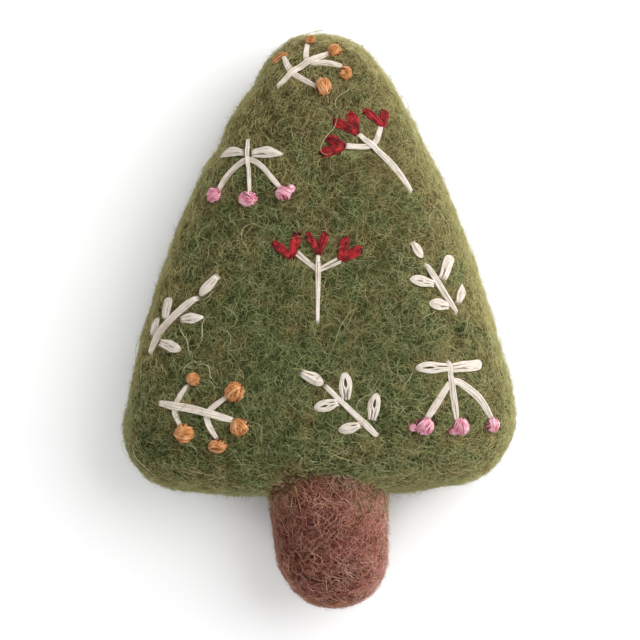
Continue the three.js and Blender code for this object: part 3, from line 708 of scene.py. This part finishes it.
def knot(thread, centre, size, stretch, thickness=WIND):
    """A wound knot: strands side by side over a small mound, and shorter bands that bow across them."""
    (middle,), (normal,) = front_frames(np.array([centre], float))
    right = unit(np.cross([0, 1, 0], normal))
    forward = np.cross(normal, right)
    radius = thickness * size
    rim = size / 2 - radius
    foot = middle + normal * (0.2 + 0.06 * size)
    heading = rng.uniform(0, math.pi)
    swing = np.linspace(-2.1, 2.1, 34)
    row = np.linspace(-0.97, 0.97, round(1.14 * rim / radius) + 1)
    turn = rng.choice([-1, 1]) * rng.uniform(0.6, 1.1)
    near, far = rng.permutation([-1, 1])
    # The first, lowest row lies deep and takes the painted shade of the crevices
    bands = [
        (row, 0.0, -0.07, 0.0, True),
        (row, 0.0, 0.0, 0.1, False),
        (row[near * row > 0.3], 0.35 * turn, 0.05, 0.2 * near, False),
        (row[(far * row > -0.3) & (far * row < 0.75)], turn, 0.1, 0.3 * far, False),
    ]
    for places, aim, rise, bow, deep in bands:
        facing = heading + aim
        for place in places:
            aside = place + bow * (np.cos(swing) - 0.5) + 0.03 * np.sin(2 * swing + 5 * place)
            span = rng.uniform(0.92, 1.1) * np.maximum(0.08, 1 - np.abs(aside) ** 2.6) ** (1 / 2.6)
            out = rim * span * np.sin(swing)
            height = (0.32 + rise) * size * span * np.cos(swing) + rng.normal(0, 0.35) * radius
            sideways_by = (math.cos(facing) * out - math.sin(facing) * rim * aside) * stretch
            forward_by = math.sin(facing) * out + math.cos(facing) * rim * aside
            line = foot + sideways_by[:, None] * right + forward_by[:, None] * forward
            line += height[:, None] * normal
            up = line - foot + normal * 0.1 * size
            thread.strand(line, up, radius * rng.uniform(0.9, 1.15), 7, deep)
    # A filler inside the knot, in the painted shade of the crevices
    inside = foot + np.linspace(-0.2, 0.2, 5)[:, None] * size * right
    thread.strand(inside, np.tile(normal, (5, 1)), 0.19 * size, 10, True)
    ring = np.linspace(0, 2 * math.pi, 9)[:-1]
    seams.append(np.array(centre) + 0.3 * size * np.stack([np.cos(ring), np.sin(ring)], axis=1))


def sew(node, colour, stitch, parts, **options):
    """One piece of floss: the stitch is made with the values of each part in turn."""
    thread = Thread()
    for part in parts:
        stitch(thread, *part, **options)
    thread.piece(node, colour)


for sprig, chart in BERRY_SPRIGS.items():
    place = np.array(chart["at"])
    branches = [rounded(points + place) for points in chart["branches"]]
    for i, plan in enumerate(branches):
        sew(f"{sprig}_branch_{i + 1}", "cream", bundle, [(plan, BRANCH_WIDTH)])
    stem = rounded(chart["stem"] + place)
    sew(f"{sprig}_stem", "cream", bundle, [(stem, chart["width"])], over=branches)
    for i, berry in enumerate(chart["knots"]):
        node = f"{sprig}_berry_{i + 1}"
        if berry:
            sew(node, "orange", knot, [(place + berry[:2], *berry[2:])])
        else:
            sew(node, "orange", bundle, [(rounded(chart["seed"] + place), WIDE_STEM)], ragged=0.4)

for sprig, chart in BUD_SPRIGS.items():
    place = np.array(chart["at"])
    fork = rounded(chart["fork"] + place)
    spread = chart["split"] * np.abs(np.linspace(-1, 1, len(fork))) + 0.42 * chart["prong"]
    apart = spread[:, None] * sides_of(fork)
    prongs = [(fork - apart, chart["prong"]), (fork + apart, chart["prong"])]
    sew(f"{sprig}_fork", "cream", bundle, prongs, gather=(1, 1))
    stem = rounded(chart["stem"] + place)
    sew(f"{sprig}_stem", "cream", bundle, [(stem, chart["width"])], over=[fork])
    for side, (base, *tips) in chart["buds"].items():
        petals = (
            (rounded([place + base, place + tip[:2]]), tip[2] * rng.uniform(0.95, 1.05)) for tip in tips
        )
        sew(f"{sprig}_bud_{side}", "red", bundle, petals, **PETAL)

for sprig, chart in TRIOS.items():
    place = np.array(chart["at"])
    sides = rounded(chart["sides"] + place)
    sew(f"{sprig}_side_stems", "cream", bundle, [(sides, chart["side_width"])])
    lobes = [(place + lobe[:2], place + lobe[2:4], *lobe[4:]) for lobe in chart["bow"]]
    sew(f"{sprig}_bow", "cream", leaf, lobes, arch=chart["arch"])
    stem = rounded(chart["stem"] + place)
    crossed = [sides] + [rounded(lobe[:2]) for lobe in lobes]
    sew(f"{sprig}_stem", "cream", bundle, [(stem, chart["width"])], over=crossed)
    for side, turns in chart["knots"].items():
        knots = [(place + turn[:2], *turn[2:]) for turn in turns]
        sew(f"{sprig}_berry_{side}", "pink", knot, knots, thickness=FINE_WIND)

for sprig, chart in LEAF_SPRIGS.items():
    place = np.array(chart["at"])
    stem = rounded(chart["stem"] + place)
    sew(f"{sprig}_stem", "cream", bundle, [(stem, chart["width"])], runs=(RUN, chart["taper"]))
    for name, (base, tip, width, kind) in chart["leaves"].items():
        sew(f"{sprig}_leaf_{name}", "cream", leaf, [(place + base, place + tip, width, kind)])

# Felt: lumpy padding, pulled in under the stitches

# The pit is pulled into the felt, and its fibres are darkened with painted shade
PIT = (24.7, -2.2)  # a small dark pit in the felt at the right
# Dents in the rim, and a swelling left of the tip: place and depth
DENTS = [
    (-11.8, 42.5, 0.6), (-18.4, 31.8, 0.75), (-30.5, 1.8, 0.3), (10.5, 46.2, 0.35), (-4.8, 51.0, -0.45),
]
DENT_RADIUS = 2.2
LOWEST = 0.1  # of the felt and its fibres, above the floor
seam_points = np.vstack(seams)
hole_points = np.array(holes + [PIT])


def nearness(points, marks, radius):
    """1 at the marks on the front, and little beyond twice the radius."""
    gap = np.empty(len(points))
    for block in np.array_split(np.arange(len(points)), 40):
        gap[block] = gaps(points[block, :2], marks)
    return np.where(points[:, 2] > EDGE_HEIGHT, np.exp(-((gap / radius) ** 2)), 0)


def pulled_in(points):
    """How far the felt is drawn in under the stitches."""
    return 0.2 * nearness(points, seam_points, 0.9) + 0.5 * nearness(points, hole_points, 0.6)


def patches(points, seed):
    """Colour patches from 0 to 1."""
    return 0.5 + 0.45 * lumps(points, 6.0, seed) + 0.35 * lumps(points, 2.4, seed + 1)


def felt_piece(name, look, node, points, faces, swell, patch):
    """A felt form with its points moved in or out; patch works out the moved points' colour patches."""
    mesh = mesh_of(name, points, faces)
    moved = points + normals_of(mesh) * swell[:, None]
    moved[:, 2] = np.maximum(moved[:, 2], LOWEST)
    mesh.vertices.foreach_set("co", (moved * MM).astype(np.float32).ravel())
    mesh.update()
    values = mesh.attributes.new("patch", "FLOAT", "POINT").data
    values.foreach_set("value", patch(moved).astype(np.float32))
    return new_piece(name, mesh, felt_looks[look], [node]), moved


def crown_patches(points):
    """Browner towards the edge, the tip and the right."""
    share, _ = way_out(points[:, 0], points[:, 1])
    return patches(points, 3) + 0.45 * (share**3 - 0.35) + 0.0035 * points[:, 1] + 0.003 * points[:, 0]


points, faces = padding(-COAT_DEPTH, 0.7)
swell = 0.3 * lumps(points, 7.0, 1) + 0.12 * lumps(points, 2.6, 2) + 0.08 * lumps(points, 1.1, 5)
for x, y, depth in DENTS:
    swell -= depth * np.exp(-((points[:, :2] - (x, y)) ** 2).sum(axis=1) / DENT_RADIUS**2)
swell -= pulled_in(points)
crown, shaped = felt_piece("crown_wool", "green_felt", "crown_felt", points, faces, swell, crown_patches)
crown_tree = BVHTree.FromPolygons(shaped.tolist(), faces)

core_points, core_faces = padding(-CORE_DEPTH, 2.0)
swell = 0.5 * lumps(core_points, 5.0, 8) - 0.5
patch = patches(core_points, 9)
felt_piece("core_wool", "core_wool", "wool_core", core_points, core_faces, swell, lambda _: patch)

# Trunk: rings along a leaning line, from the round end up to the crown's underside

trunk_axis = np.array([-math.sin(TRUNK_LEAN), math.cos(TRUNK_LEAN), 0.0])
trunk_side = np.array([math.cos(TRUNK_LEAN), math.sin(TRUNK_LEAN), 0.0])
trunk_origin = np.array([TRUNK_TOP[0], TRUNK_TOP[1], TRUNK_HEIGHT])
TRUNK_AROUND = 80
TRUNK_COAT = 0.72  # room left for the trunk's longer fibres
SUNK = 0.5  # of the trunk's top into the crown's felt
END_SHIFT = 0.35  # the round end sits a little to the right


def trunk_ring(along, swell):
    turn = -np.arange(TRUNK_AROUND) / TRUNK_AROUND * 2 * math.pi
    across = np.cos(turn)[:, None] * trunk_side * (TRUNK_WIDTH / 2 - TRUNK_COAT) * swell
    above = np.sin(turn)[:, None] * np.array([0, 0, 1]) * (TRUNK_THICKNESS / 2 - TRUNK_COAT) * swell
    return trunk_origin + np.asarray(along).reshape(-1, 1) * trunk_axis + across + above


def trunk_form():
    rings = []
    for turn in np.linspace(0, math.pi / 2, 14)[1:]:
        along = TRUNK_END * (1 - math.cos(turn)) - TRUNK_LENGTH + COAT_DEPTH
        ring = trunk_ring(along, math.sin(turn) ** 0.9)
        rings.append(ring + END_SHIFT * math.cos(turn) * trunk_side)
    foot = TRUNK_END - TRUNK_LENGTH + COAT_DEPTH
    ends = []
    for point in trunk_ring(foot, TRUNK_FLARE):
        hit, _, _, distance = crown_tree.ray_cast(Vector(point), Vector(trunk_axis))
        ends.append(foot + (distance if hit else 12.0) + SUNK)
    for share in np.linspace(0, 1, 24)[1:]:
        along = foot + (np.array(ends) - foot) * share
        rings.append(trunk_ring(along, 1 + (TRUNK_FLARE - 1) * share**2))
    poles = [trunk_origin - trunk_axis * (TRUNK_LENGTH - COAT_DEPTH), rings[-1].mean(axis=0)]
    return np.vstack(rings + [poles]), loft_faces(TRUNK_AROUND, len(rings))


trunk_points, trunk_faces = trunk_form()
swell = 0.35 * lumps(trunk_points, 6.0, 12) + 0.25 * lumps(trunk_points, 2.2, 13)


def trunk_patches(points):
    """Paler to the right."""
    return patches(points, 14) + 0.25 * (points[:, 0] - TRUNK_TOP[0]) / TRUNK_WIDTH


trunk, trunk_shaped = felt_piece(
    "trunk_wool", "brown_felt", "trunk_felt", trunk_points, trunk_faces, swell, trunk_patches
)
trunk_tree = BVHTree.FromPolygons(trunk_shaped.tolist(), trunk_faces)

# Fibres: thin tapered strands of wool that wander over the felt


def scattered(points, faces, tree, count):
    """Random spots on a surface: their places and normals, and the surface's tree."""
    corners = np.array([[f[0], f[1], f[2], f[-1]] for f in faces])
    a, b, c, d = (points[corners[:, k]] for k in range(4))
    area = np.linalg.norm(np.cross(c - a, d - b), axis=1) / 2
    pick = rng.choice(len(faces), count, p=area / area.sum())
    u, v = rng.random((2, count, 1))
    low = a[pick] * (1 - u) * (1 - v) + b[pick] * u * (1 - v)
    place = low + c[pick] * u * v + d[pick] * (1 - u) * v
    return place, unit(np.cross((c - a)[pick], (d - b)[pick])), tree


def fibre_lines(place, normal, tree, length, curl, height, steps, stand):
    """Lines of points that follow the felt, dipping in at both ends, or standing off it at the last."""
    count = len(place)
    guide = np.where(np.abs(normal[:, 2:3]) > 0.9, [[1.0, 0, 0]], [[0, 0, 1.0]])
    first = unit(np.cross(normal, guide))
    second = np.cross(normal, first)
    share = np.linspace(0, 1, steps)
    bend = rng.normal(0, 1, (count, 1)) * curl * (share - 0.5)
    wave = 0.5 * curl * rng.random((count, 1))
    wave = wave * np.sin(2 * math.pi * share + rng.uniform(0, 6.3, (count, 1)))
    heading = rng.uniform(0, 2 * math.pi, (count, 1)) + bend + wave
    step = length[:, None] / (steps - 1)
    x = np.cumsum(np.cos(heading) * step, axis=1)
    y = np.cumsum(np.sin(heading) * step, axis=1)
    x -= x[:, steps // 2, None]
    y -= y[:, steps // 2, None]
    flat = place[:, None] + x[:, :, None] * first[:, None] + y[:, :, None] * second[:, None]
    arch = np.sin(math.pi * share) ** 0.7
    lift = height[:, None] * arch - 0.12 * (1 - arch)
    if stand:
        lift = height[:, None] * share**1.5 - 0.1 * (1 - share)
    lines, ups = np.empty((2, count, steps, 3))
    for i in range(count):
        for j in range(steps):
            lines[i, j], ups[i, j], _, _ = tree.find_nearest(flat[i, j])
    lines += ups * lift[:, :, None]
    lines[:, :, 2] = np.maximum(lines[:, :, 2], LOWEST + 0.02)
    return lines, ups


def fibre_piece(name, kind, lines, ups, width, tone):
    """One mesh of closed three-sided tapered tubes."""
    count, steps, _ = lines.shape
    tangent = unit(np.gradient(lines, axis=1))
    side = unit(np.cross(tangent, ups))
    above = np.cross(side, tangent)
    share = np.linspace(0, 1, steps)
    taper = (np.sin(math.pi * np.clip(share, 0.02, 0.98)) ** 0.5)[None, :, None]
    radius = width[:, None, None] / 2 * taper
    rings = []
    for third in range(3):
        turn = 0.5 * math.pi + 2 * third * math.pi / 3
        rings.append(lines + radius * (math.cos(turn) * side + math.sin(turn) * above))
    rings = np.stack(rings, axis=2)[:, 1:-1].reshape(count, -1, 3)
    points = np.concatenate([lines[:, :1], rings, lines[:, -1:]], axis=1)
    each = points.shape[1]
    level = np.concatenate([[0], np.repeat(share[1:-1], 3), [1]])
    shift = np.concatenate([[0], np.tile([-0.004, 0.0, 0.004], steps - 2), [0]])
    faces = []
    for k in range(3):
        n = (k + 1) % 3
        faces.append((0, 1 + n, 1 + k))
        for r in range(steps - 3):
            low, high = 1 + 3 * r, 4 + 3 * r
            faces.append((low + k, low + n, high + n))
            faces.append((low + k, high + n, high + k))
        faces.append((each - 1, each - 4 + k, each - 4 + n))
    faces = np.array(faces)
    index = (faces[None] + each * np.arange(count)[:, None, None]).reshape(-1)
    uv = np.empty((count, each, 2))
    uv[:, :, 0] = np.clip(tone[:, None] + shift, 0.005, 0.995)
    uv[:, :, 1] = 0.01 + 0.98 * level
    uv = uv.reshape(-1, 2)
    mesh = bpy.data.meshes.new(name)
    mesh.vertices.add(count * each)
    mesh.vertices.foreach_set("co", (points * MM).astype(np.float32).ravel())
    mesh.loops.add(len(index))
    mesh.loops.foreach_set("vertex_index", index.astype(np.int32))
    total = len(index) // 3
    mesh.polygons.add(total)
    mesh.polygons.foreach_set("loop_start", np.arange(0, 3 * total, 3, dtype=np.int32))
    mesh.polygons.foreach_set("use_smooth", np.ones(total, bool))
    mesh.uv_layers.new(name="OFBake").data.foreach_set("uv", uv[index].astype(np.float32).ravel())
    mesh.update(calc_edges=True)
    new_piece(name, mesh, fibre_looks[kind])


def wool(name, kind, spots, chosen, tone, length, curl, height, width, steps=6, stand=False):
    """Fibres at the chosen spots, with sizes in the given ranges; they are fluffier at the sides."""
    place, normal, tree = spots
    place, normal = place[chosen], normal[chosen]
    sizes = [rng.uniform(*limits, len(place)) for limits in (length, height, width)]
    fluffy = sizes[1] * (1 + 0.15 * sideways(normal))
    lines, ups = fibre_lines(place, normal, tree, sizes[0], curl, fluffy, steps, stand)
    fibre_piece(name, kind, lines, ups, sizes[2], np.clip(tone, 0.01, 0.99))


def sideways(normal):
    """1 where the felt faces sideways, towards 0 on the front and the back."""
    return np.exp(-((normal[:, 2] / 0.5) ** 2))


def tones(middle, spread, members):
    """A random tone for each member."""
    return rng.normal(middle, spread, len(members))


def clumps(place, seed):
    """Lighter and darker tufts."""
    return 0.2 * lumps(place, 1.1, seed) + 0.12 * lumps(place, 3.0, seed + 1)


# The crown's wool is made paler towards this bearing, the side the lamps light: painted light
PAINTED_LIGHT_BEARING = math.radians(-12)
OLIVE_FROM = 0.52  # of the crown's patches
MAUVE_FROM = 0.6  # of the trunk's patches
COAT = 11000  # fibres in one piece
LONG_COAT = 5000
STRAYS = 220
EVERY = slice(None)

# Coats of wool from the felt outwards: each is finer, paler and looser than the one below; the darker
# lower coats are partly painted shade of the gaps between the fibres.
# (name, pieces, tone, lengths, curl, heights, widths)
CROWN_COATS = [
    ("under", 3, 0.08, (1.8, 4.0), 1.8, (0.0, 0.2), (0.11, 0.18)),
    ("middle", 3, 0.44, (1.8, 4.4), 2.0, (0.08, 0.4), (0.07, 0.12)),
    ("upper", 3, 0.78, (1.8, 4.8), 2.2, (0.15, 0.65), (0.05, 0.09)),
]
TRUNK_COATS = [
    ("under", 2, 0.08, (3.0, 7.0), 2.4, (0.0, 0.2), (0.12, 0.2)),
    ("middle", 1, 0.36, (3.0, 8.0), 2.8, (0.1, 0.45), (0.1, 0.15)),
    ("upper", 1, 0.66, (4.0, 10.0), 3.2, (0.2, 0.75), (0.08, 0.14)),
]


def crown_spots(count):
    """Spots on the crown, few of them on the flat of the back, which is pressed down."""
    place, normal, tree = scattered(shaped, faces, crown_tree, int(count * 1.5))
    showing = (place[:, 2] > 1.0) | (rng.random(len(place)) < 0.12)
    kept = np.flatnonzero(showing)[:count]
    return place[kept], normal[kept], tree


def trunk_spots(count):
    return scattered(trunk_shaped, trunk_faces, trunk_tree, count)


def painted_light_side(place):
    """Up to 1 towards the crown's right, where the lamps fall: its wool is made paler there as painted
    light.
    """
    share, bearing = way_out(place[:, 0], place[:, 1])
    facing = np.sqrt(np.clip(np.cos(bearing - PAINTED_LIGHT_BEARING), 0, 1))
    return smoothstep((share * facing - 0.3) / 0.5)


for coat, pieces, level, *sizes in CROWN_COATS:
    for layer in range(pieces):
        spots = crown_spots(COAT)
        place, normal, _ = spots
        aside = sideways(normal)
        worn = nearness(place, seam_points, 1.3)  # the needle pulls up paler, browner wool
        # Paler, less olive and more varied wool towards the lit right: painted light
        pale = painted_light_side(place)
        patch = crown_patches(place) + 0.25 * worn - 0.1 * pale + rng.normal(0, 0.15, len(place))
        is_olive = patch > OLIVE_FROM
        # Paler where the felt faces sideways: partly paler loose fuzz at the edge, partly painted sheen
        # of the grazing rim
        tone = level + (0.6 + 0.22 * pale) * aside + 0.19 * pale
        tone += (1 + 2.6 * aside) * clumps(place, 31)
        # Darker towards the left, the side away from the lamps: painted shade
        tone += 0.08 * np.clip(place[:, 0] / 30, -1, 0)
        tone += 0.22 * worn + tones(0, 0.22, place) * (1 + pale)
        # Painted shade in the pit
        tone -= 0.8 * np.exp(-((place[:, :2] - PIT) ** 2).sum(axis=1))
        for kind, chosen in (("green", ~is_olive), ("olive", is_olive)):
            wool(f"crown_{coat}_{kind}_{layer + 1}", kind, spots, chosen, tone[chosen], *sizes, steps=5)

spots = crown_spots(COAT)
# More pale fibres towards the lit right: painted light
chosen = np.flatnonzero(rng.random(len(spots[0])) < 0.25 + 0.35 * painted_light_side(spots[0]))
tone = tones(0.3, 0.25, chosen)
wool("crown_pale", "pale", spots, chosen, tone, (2.5, 6.0), 2.2, (0.2, 0.75), (0.05, 0.09))

# (name, lengths, heights, widths, share on the front, whether it stands up)
FUZZ = [
    ("crown_fuzz", (1.0, 3.0), (0.4, 1.4), (0.04, 0.075), 0.08, True),
    ("crown_haze", (1.5, 3.5), (0.6, 1.9), (0.025, 0.045), 0.0, True),
    ("crown_loops", (1.5, 3.5), (0.3, 0.8), (0.04, 0.075), 0.06, False),
]
for name, length, height, width, front, stand in FUZZ:
    spots = crown_spots(2 * COAT)
    place, normal, _ = spots
    tufts = np.clip(0.5 + 1.6 * lumps(place, 1.6, 35), 0.1, 1)
    chosen = np.flatnonzero(rng.random(len(place)) < front + 0.6 * tufts * sideways(normal))[:COAT]
    tone = tones(0.5, 0.3, chosen) + 1.5 * clumps(place[chosen], 31)
    wool(name, "pale", spots, chosen, tone, length, 1.8, height, width, steps=5, stand=stand)

spots = crown_spots(STRAYS)
tone = tones(0.55, 0.2, spots[0])
wool("crown_strays", "pale", spots, EVERY, tone, (6.0, 14.0), 2.4, (0.5, 1.2), (0.06, 0.1), steps=18)

# Long single hairs that lie over the stitches
HAIRS = [
    [
        (6.1, 42.9), (5.7, 41.1), (3.9, 40.2), (2.9, 38.9),
        (2.9, 37.6), (3.8, 37.4), (4.2, 38.5), (3.3, 38.9),
    ],
    [
        (3.4, 37.2), (3.7, 36.6), (3.0, 35.2), (1.9, 32.9),
        (0.4, 31.5), (0.1, 30.2), (1.1, 29.2), (2.8, 29.6),
    ],
    [(-20.8, 3.3), (-19.4, 4.2), (-18.1, 5.3)],
    [(-24.8, -0.5), (-24.1, -2.2), (-23.2, -4.0), (-22.6, -6.7)],
    [(-19.3, 1.3), (-20.3, 0.0), (-20.6, -2.7), (-21.2, -4.7)],
    [(-24.4, -10.4), (-24.2, -8.9), (-22.7, -7.7), (-20.3, -7.3)],
    [(-22.3, -8.9), (-21.2, -7.6), (-19.4, -8.4), (-19.0, -9.8), (-19.8, -11.3)],
    [(16.8, -9.3), (15.6, -10.7), (14.7, -12.5)],
    [(19.7, -2.8), (20.5, -1.9), (21.7, -1.3), (22.5, -0.3)],
    [(24.9, -2.7), (25.8, -1.6), (26.2, 0.2)],
    [(17.7, -0.8), (19.2, 1.0), (20.9, 1.7)],
]
HAIR_STEPS = 40
HAIR_WIDTH = 0.1
HAIR_TONE = 0.9
lines, ups = [], []
for hair in HAIRS:
    plan = rounded(hair)
    pick = np.linspace(0, len(plan) - 1, HAIR_STEPS)
    plan = np.stack([np.interp(pick, np.arange(len(plan)), plan[:, k]) for k in range(2)], axis=1)
    wave = 0.14 * np.sin(along_lengths(plan) * rng.uniform(1.2, 2.2) + rng.uniform(0, 6))
    place, normal = front_frames(plan + wave[:, None] * sides_of(plan))
    height = 0.9 * np.sin(np.linspace(0, math.pi, HAIR_STEPS)) ** 0.3 - 0.1
    lines.append(place + normal * height[:, None])
    ups.append(normal)
width = np.full(len(HAIRS), HAIR_WIDTH)
tone = np.full(len(HAIRS), HAIR_TONE)
fibre_piece("crown_hairs", "pale", np.array(lines), np.array(ups), width, tone)


def trunk_share(place):
    """From -0.5 at the trunk's left to 0.5 at its right."""
    return np.clip((place - trunk_origin) @ trunk_side / TRUNK_WIDTH, -0.5, 0.5)


for coat, pieces, level, *sizes in TRUNK_COATS:
    for layer in range(pieces):
        spots = trunk_spots(LONG_COAT)
        place, normal, _ = spots
        across = trunk_share(place)
        aside = sideways(normal)
        patch = 0.5 + 0.5 * lumps(place, 5.0, 41) + 0.4 * across + rng.normal(0, 0.1, len(place))
        is_mauve = patch > MAUVE_FROM
        tone = level + 0.34 * across + 0.3 * aside + clumps(place, 43)
        near_crown = np.exp(-(((place[:, 1] - TRUNK_TOP[1]) / 4.0) ** 2))
        right = np.clip(2 * across, 0, 1)
        tone += near_crown * (0.5 * aside + 0.4 * right) + 0.75 * aside**2 * (1 - right)
        tone += tones(0, 0.22, place) * (1 + aside)
        for kind, chosen in (("brown", ~is_mauve), ("mauve", is_mauve)):
            wool(f"trunk_{coat}_{kind}_{layer + 1}", kind, spots, chosen, tone[chosen], *sizes, steps=8)

spots = trunk_spots(LONG_COAT // 3)
tone = tones(0.45, 0.3, spots[0]) + 0.6 * trunk_share(spots[0])
wool("trunk_rosy", "rosy", spots, EVERY, tone, (3.5, 9.0), 3.0, (0.3, 0.85), (0.07, 0.12), steps=10)
spots = trunk_spots(COAT // 3)
tone = tones(0.4, 0.25, spots[0])
wool("trunk_fuzz", "tan", spots, EVERY, tone, (0.8, 2.2), 1.8, (0.2, 0.8), (0.05, 0.08), 5, stand=True)
spots = trunk_spots(COAT)
chosen = np.flatnonzero(rng.random(len(spots[0])) < sideways(spots[1]))[:LONG_COAT]
tone = tones(0.6, 0.3, chosen)
wool("trunk_haze", "tan", spots, chosen, tone, (1.2, 3.2), 1.8, (0.3, 1.4), (0.04, 0.07), 5, stand=True)


def faces_near(points, faces, keep):
    """The faces whose middles a rule keeps."""
    middles = np.array([points[list(face)].mean(axis=0) for face in faces])
    return [face for face, kept in zip(faces, keep(middles)) if kept]


# Where crown and trunk are felted together: each one's wool runs out over the other, in uneven tufts
JOIN = 10  # how far along both the tufts reach, at most
ROOT_PEAK = -4.0  # the brown wool reaches highest a little left of the trunk's middle
near_join = faces_near(
    shaped,
    faces,
    lambda p: (p[:, 1] < TRUNK_TOP[1] + JOIN) & (np.abs(p[:, 0] - TRUNK_TOP[0]) < 0.6 * TRUNK_WIDTH),
)
spots = scattered(shaped, near_join, crown_tree, 4 * LONG_COAT)
place = spots[0]
aside = (place[:, 0] - ROOT_PEAK) / 10.0
rise = 3.4 - np.where(aside < 0, 6.0, 1.5) * aside**2 + 1.4 * lumps(place, 2.2, 51)
above = (place[:, 1] - TRUNK_TOP[1]) / np.maximum(rise, 0.3)
chance = np.exp(-1.5 * np.clip(above, 0, None) ** 2) * (np.abs(trunk_share(place)) < 0.47)
chosen = np.flatnonzero(rng.random(len(place)) < 0.6 * chance)[:LONG_COAT]
tone = tones(0.28, 0.24, chosen)
wool("join_brown", "brown", spots, chosen, tone, (2.0, 6.0), 2.4, (0.2, 0.75), (0.08, 0.14), steps=7)

near_join = faces_near(trunk_shaped, trunk_faces, lambda p: p[:, 1] > TRUNK_TOP[1] - JOIN)
spots = scattered(trunk_shaped, near_join, trunk_tree, 4 * LONG_COAT)
place, normal, _ = spots
fall = 1.5 + 3.0 * np.abs(trunk_share(place) + 0.05) + 2.0 * lumps(place, 2.0, 53)
top = np.interp(trunk_share(place), [-0.5, -0.2, 0.1, 0.5], [-31.0, -27.5, -28.5, -32.5])
chance = np.exp(-(np.clip((top - place[:, 1]) / np.maximum(fall, 0.2), 0, None) ** 2))
chosen = np.flatnonzero(rng.random(len(place)) < 0.24 * chance)[: LONG_COAT // 2]
tone = tones(0.4, 0.25, chosen) + 0.4 * sideways(normal[chosen])
wool("join_olive", "olive", spots, chosen, tone, (2.0, 5.5), 2.4, (0.3, 0.8), (0.08, 0.13), steps=7)

# Floor, light and camera

# The glow is dimmed near the object by ambient occlusion, which paints shade into the floor there
FLOOR_GLOW = 0.22  # lifts the open white floor in the picture, and lights nothing
FLOOR_SHADE = 0.9
CORNER_REACH = 25.0  # how near something must be to dim the floor's glow
AMBIENT = 0.62
BACKDROP = 1.0

floor_mesh = bpy.data.meshes.new("floor")
floor_mesh.from_pydata([(-4, -4, 0), (4, -4, 0), (4, 4, 0), (-4, 4, 0)], [], [(0, 1, 2, 3)])
floor = new_object("floor", floor_mesh)
floor.location.z = -0.05 * MM
look = Nodes(bpy.data.materials.new("floor_white"))
look.set(Base_Color=(FLOOR_SHADE, FLOOR_SHADE, FLOOR_SHADE, 1), Roughness=1.0, Specular_IOR_Level=0.0)
look.set(Emission_Color=(1, 1, 1, 1))
seen = look.add("ShaderNodeLightPath").outputs["Is Camera Ray"]
# Ambient occlusion takes the glow off the floor near the object: painted shade in the corners
corner_shade = look.add("ShaderNodeAmbientOcclusion", {"Distance": CORNER_REACH * MM}, samples=8)
limits = {"Value": corner_shade.outputs["AO"], "From Min": 0.36, "From Max": 0.5}
openness = look.add("ShaderNodeMapRange", limits).outputs["Result"]
glow = look.math("MULTIPLY", openness, FLOOR_GLOW)
look.link(look.math("MULTIPLY", seen, glow), "Emission Strength")
floor_mesh.materials.append(look.owner)

studio = Nodes(bpy.data.worlds.new("studio"))
scene.world = studio.owner
ambient = studio.tree.nodes["Background"]
ambient.inputs["Color"].default_value = (1, 1, 1, 1)
ambient.inputs["Strength"].default_value = AMBIENT
backdrop = studio.add("ShaderNodeBackground", {"Strength": BACKDROP})
seen = studio.add("ShaderNodeLightPath").outputs["Is Camera Ray"]
either = studio.add("ShaderNodeMixShader", {0: seen, 1: ambient.outputs[0], 2: backdrop.outputs[0]})
studio.tree.links.new(either.outputs[0], studio.tree.nodes["World Output"].inputs["Surface"])


def lamp(name, place, size, power):
    data = bpy.data.lights.new(name, "AREA")
    data.size = size
    data.energy = power
    light = new_object(name, data)
    light.location = place
    light.rotation_euler = (-Vector(place)).to_track_quat("-Z", "Y").to_euler()


lamp("key", (0.64, 0.36, 0.65), 1.0, 8.5)
lamp("side", (0.88, 0.36, 0.26), 0.7, 2.4)

camera_data = bpy.data.cameras.new("camera")
camera_data.sensor_width = SENSOR
camera_data.lens = SENSOR * (EYE_HEIGHT - EDGE_HEIGHT) / VIEW_WIDTH
camera_data.clip_start = 0.01
camera = new_object("camera", camera_data)
camera.location = (VIEW_CENTRE[0] * MM, VIEW_CENTRE[1] * MM, EYE_HEIGHT * MM)
scene.camera = camera
scene.view_settings.view_transform = "Standard"
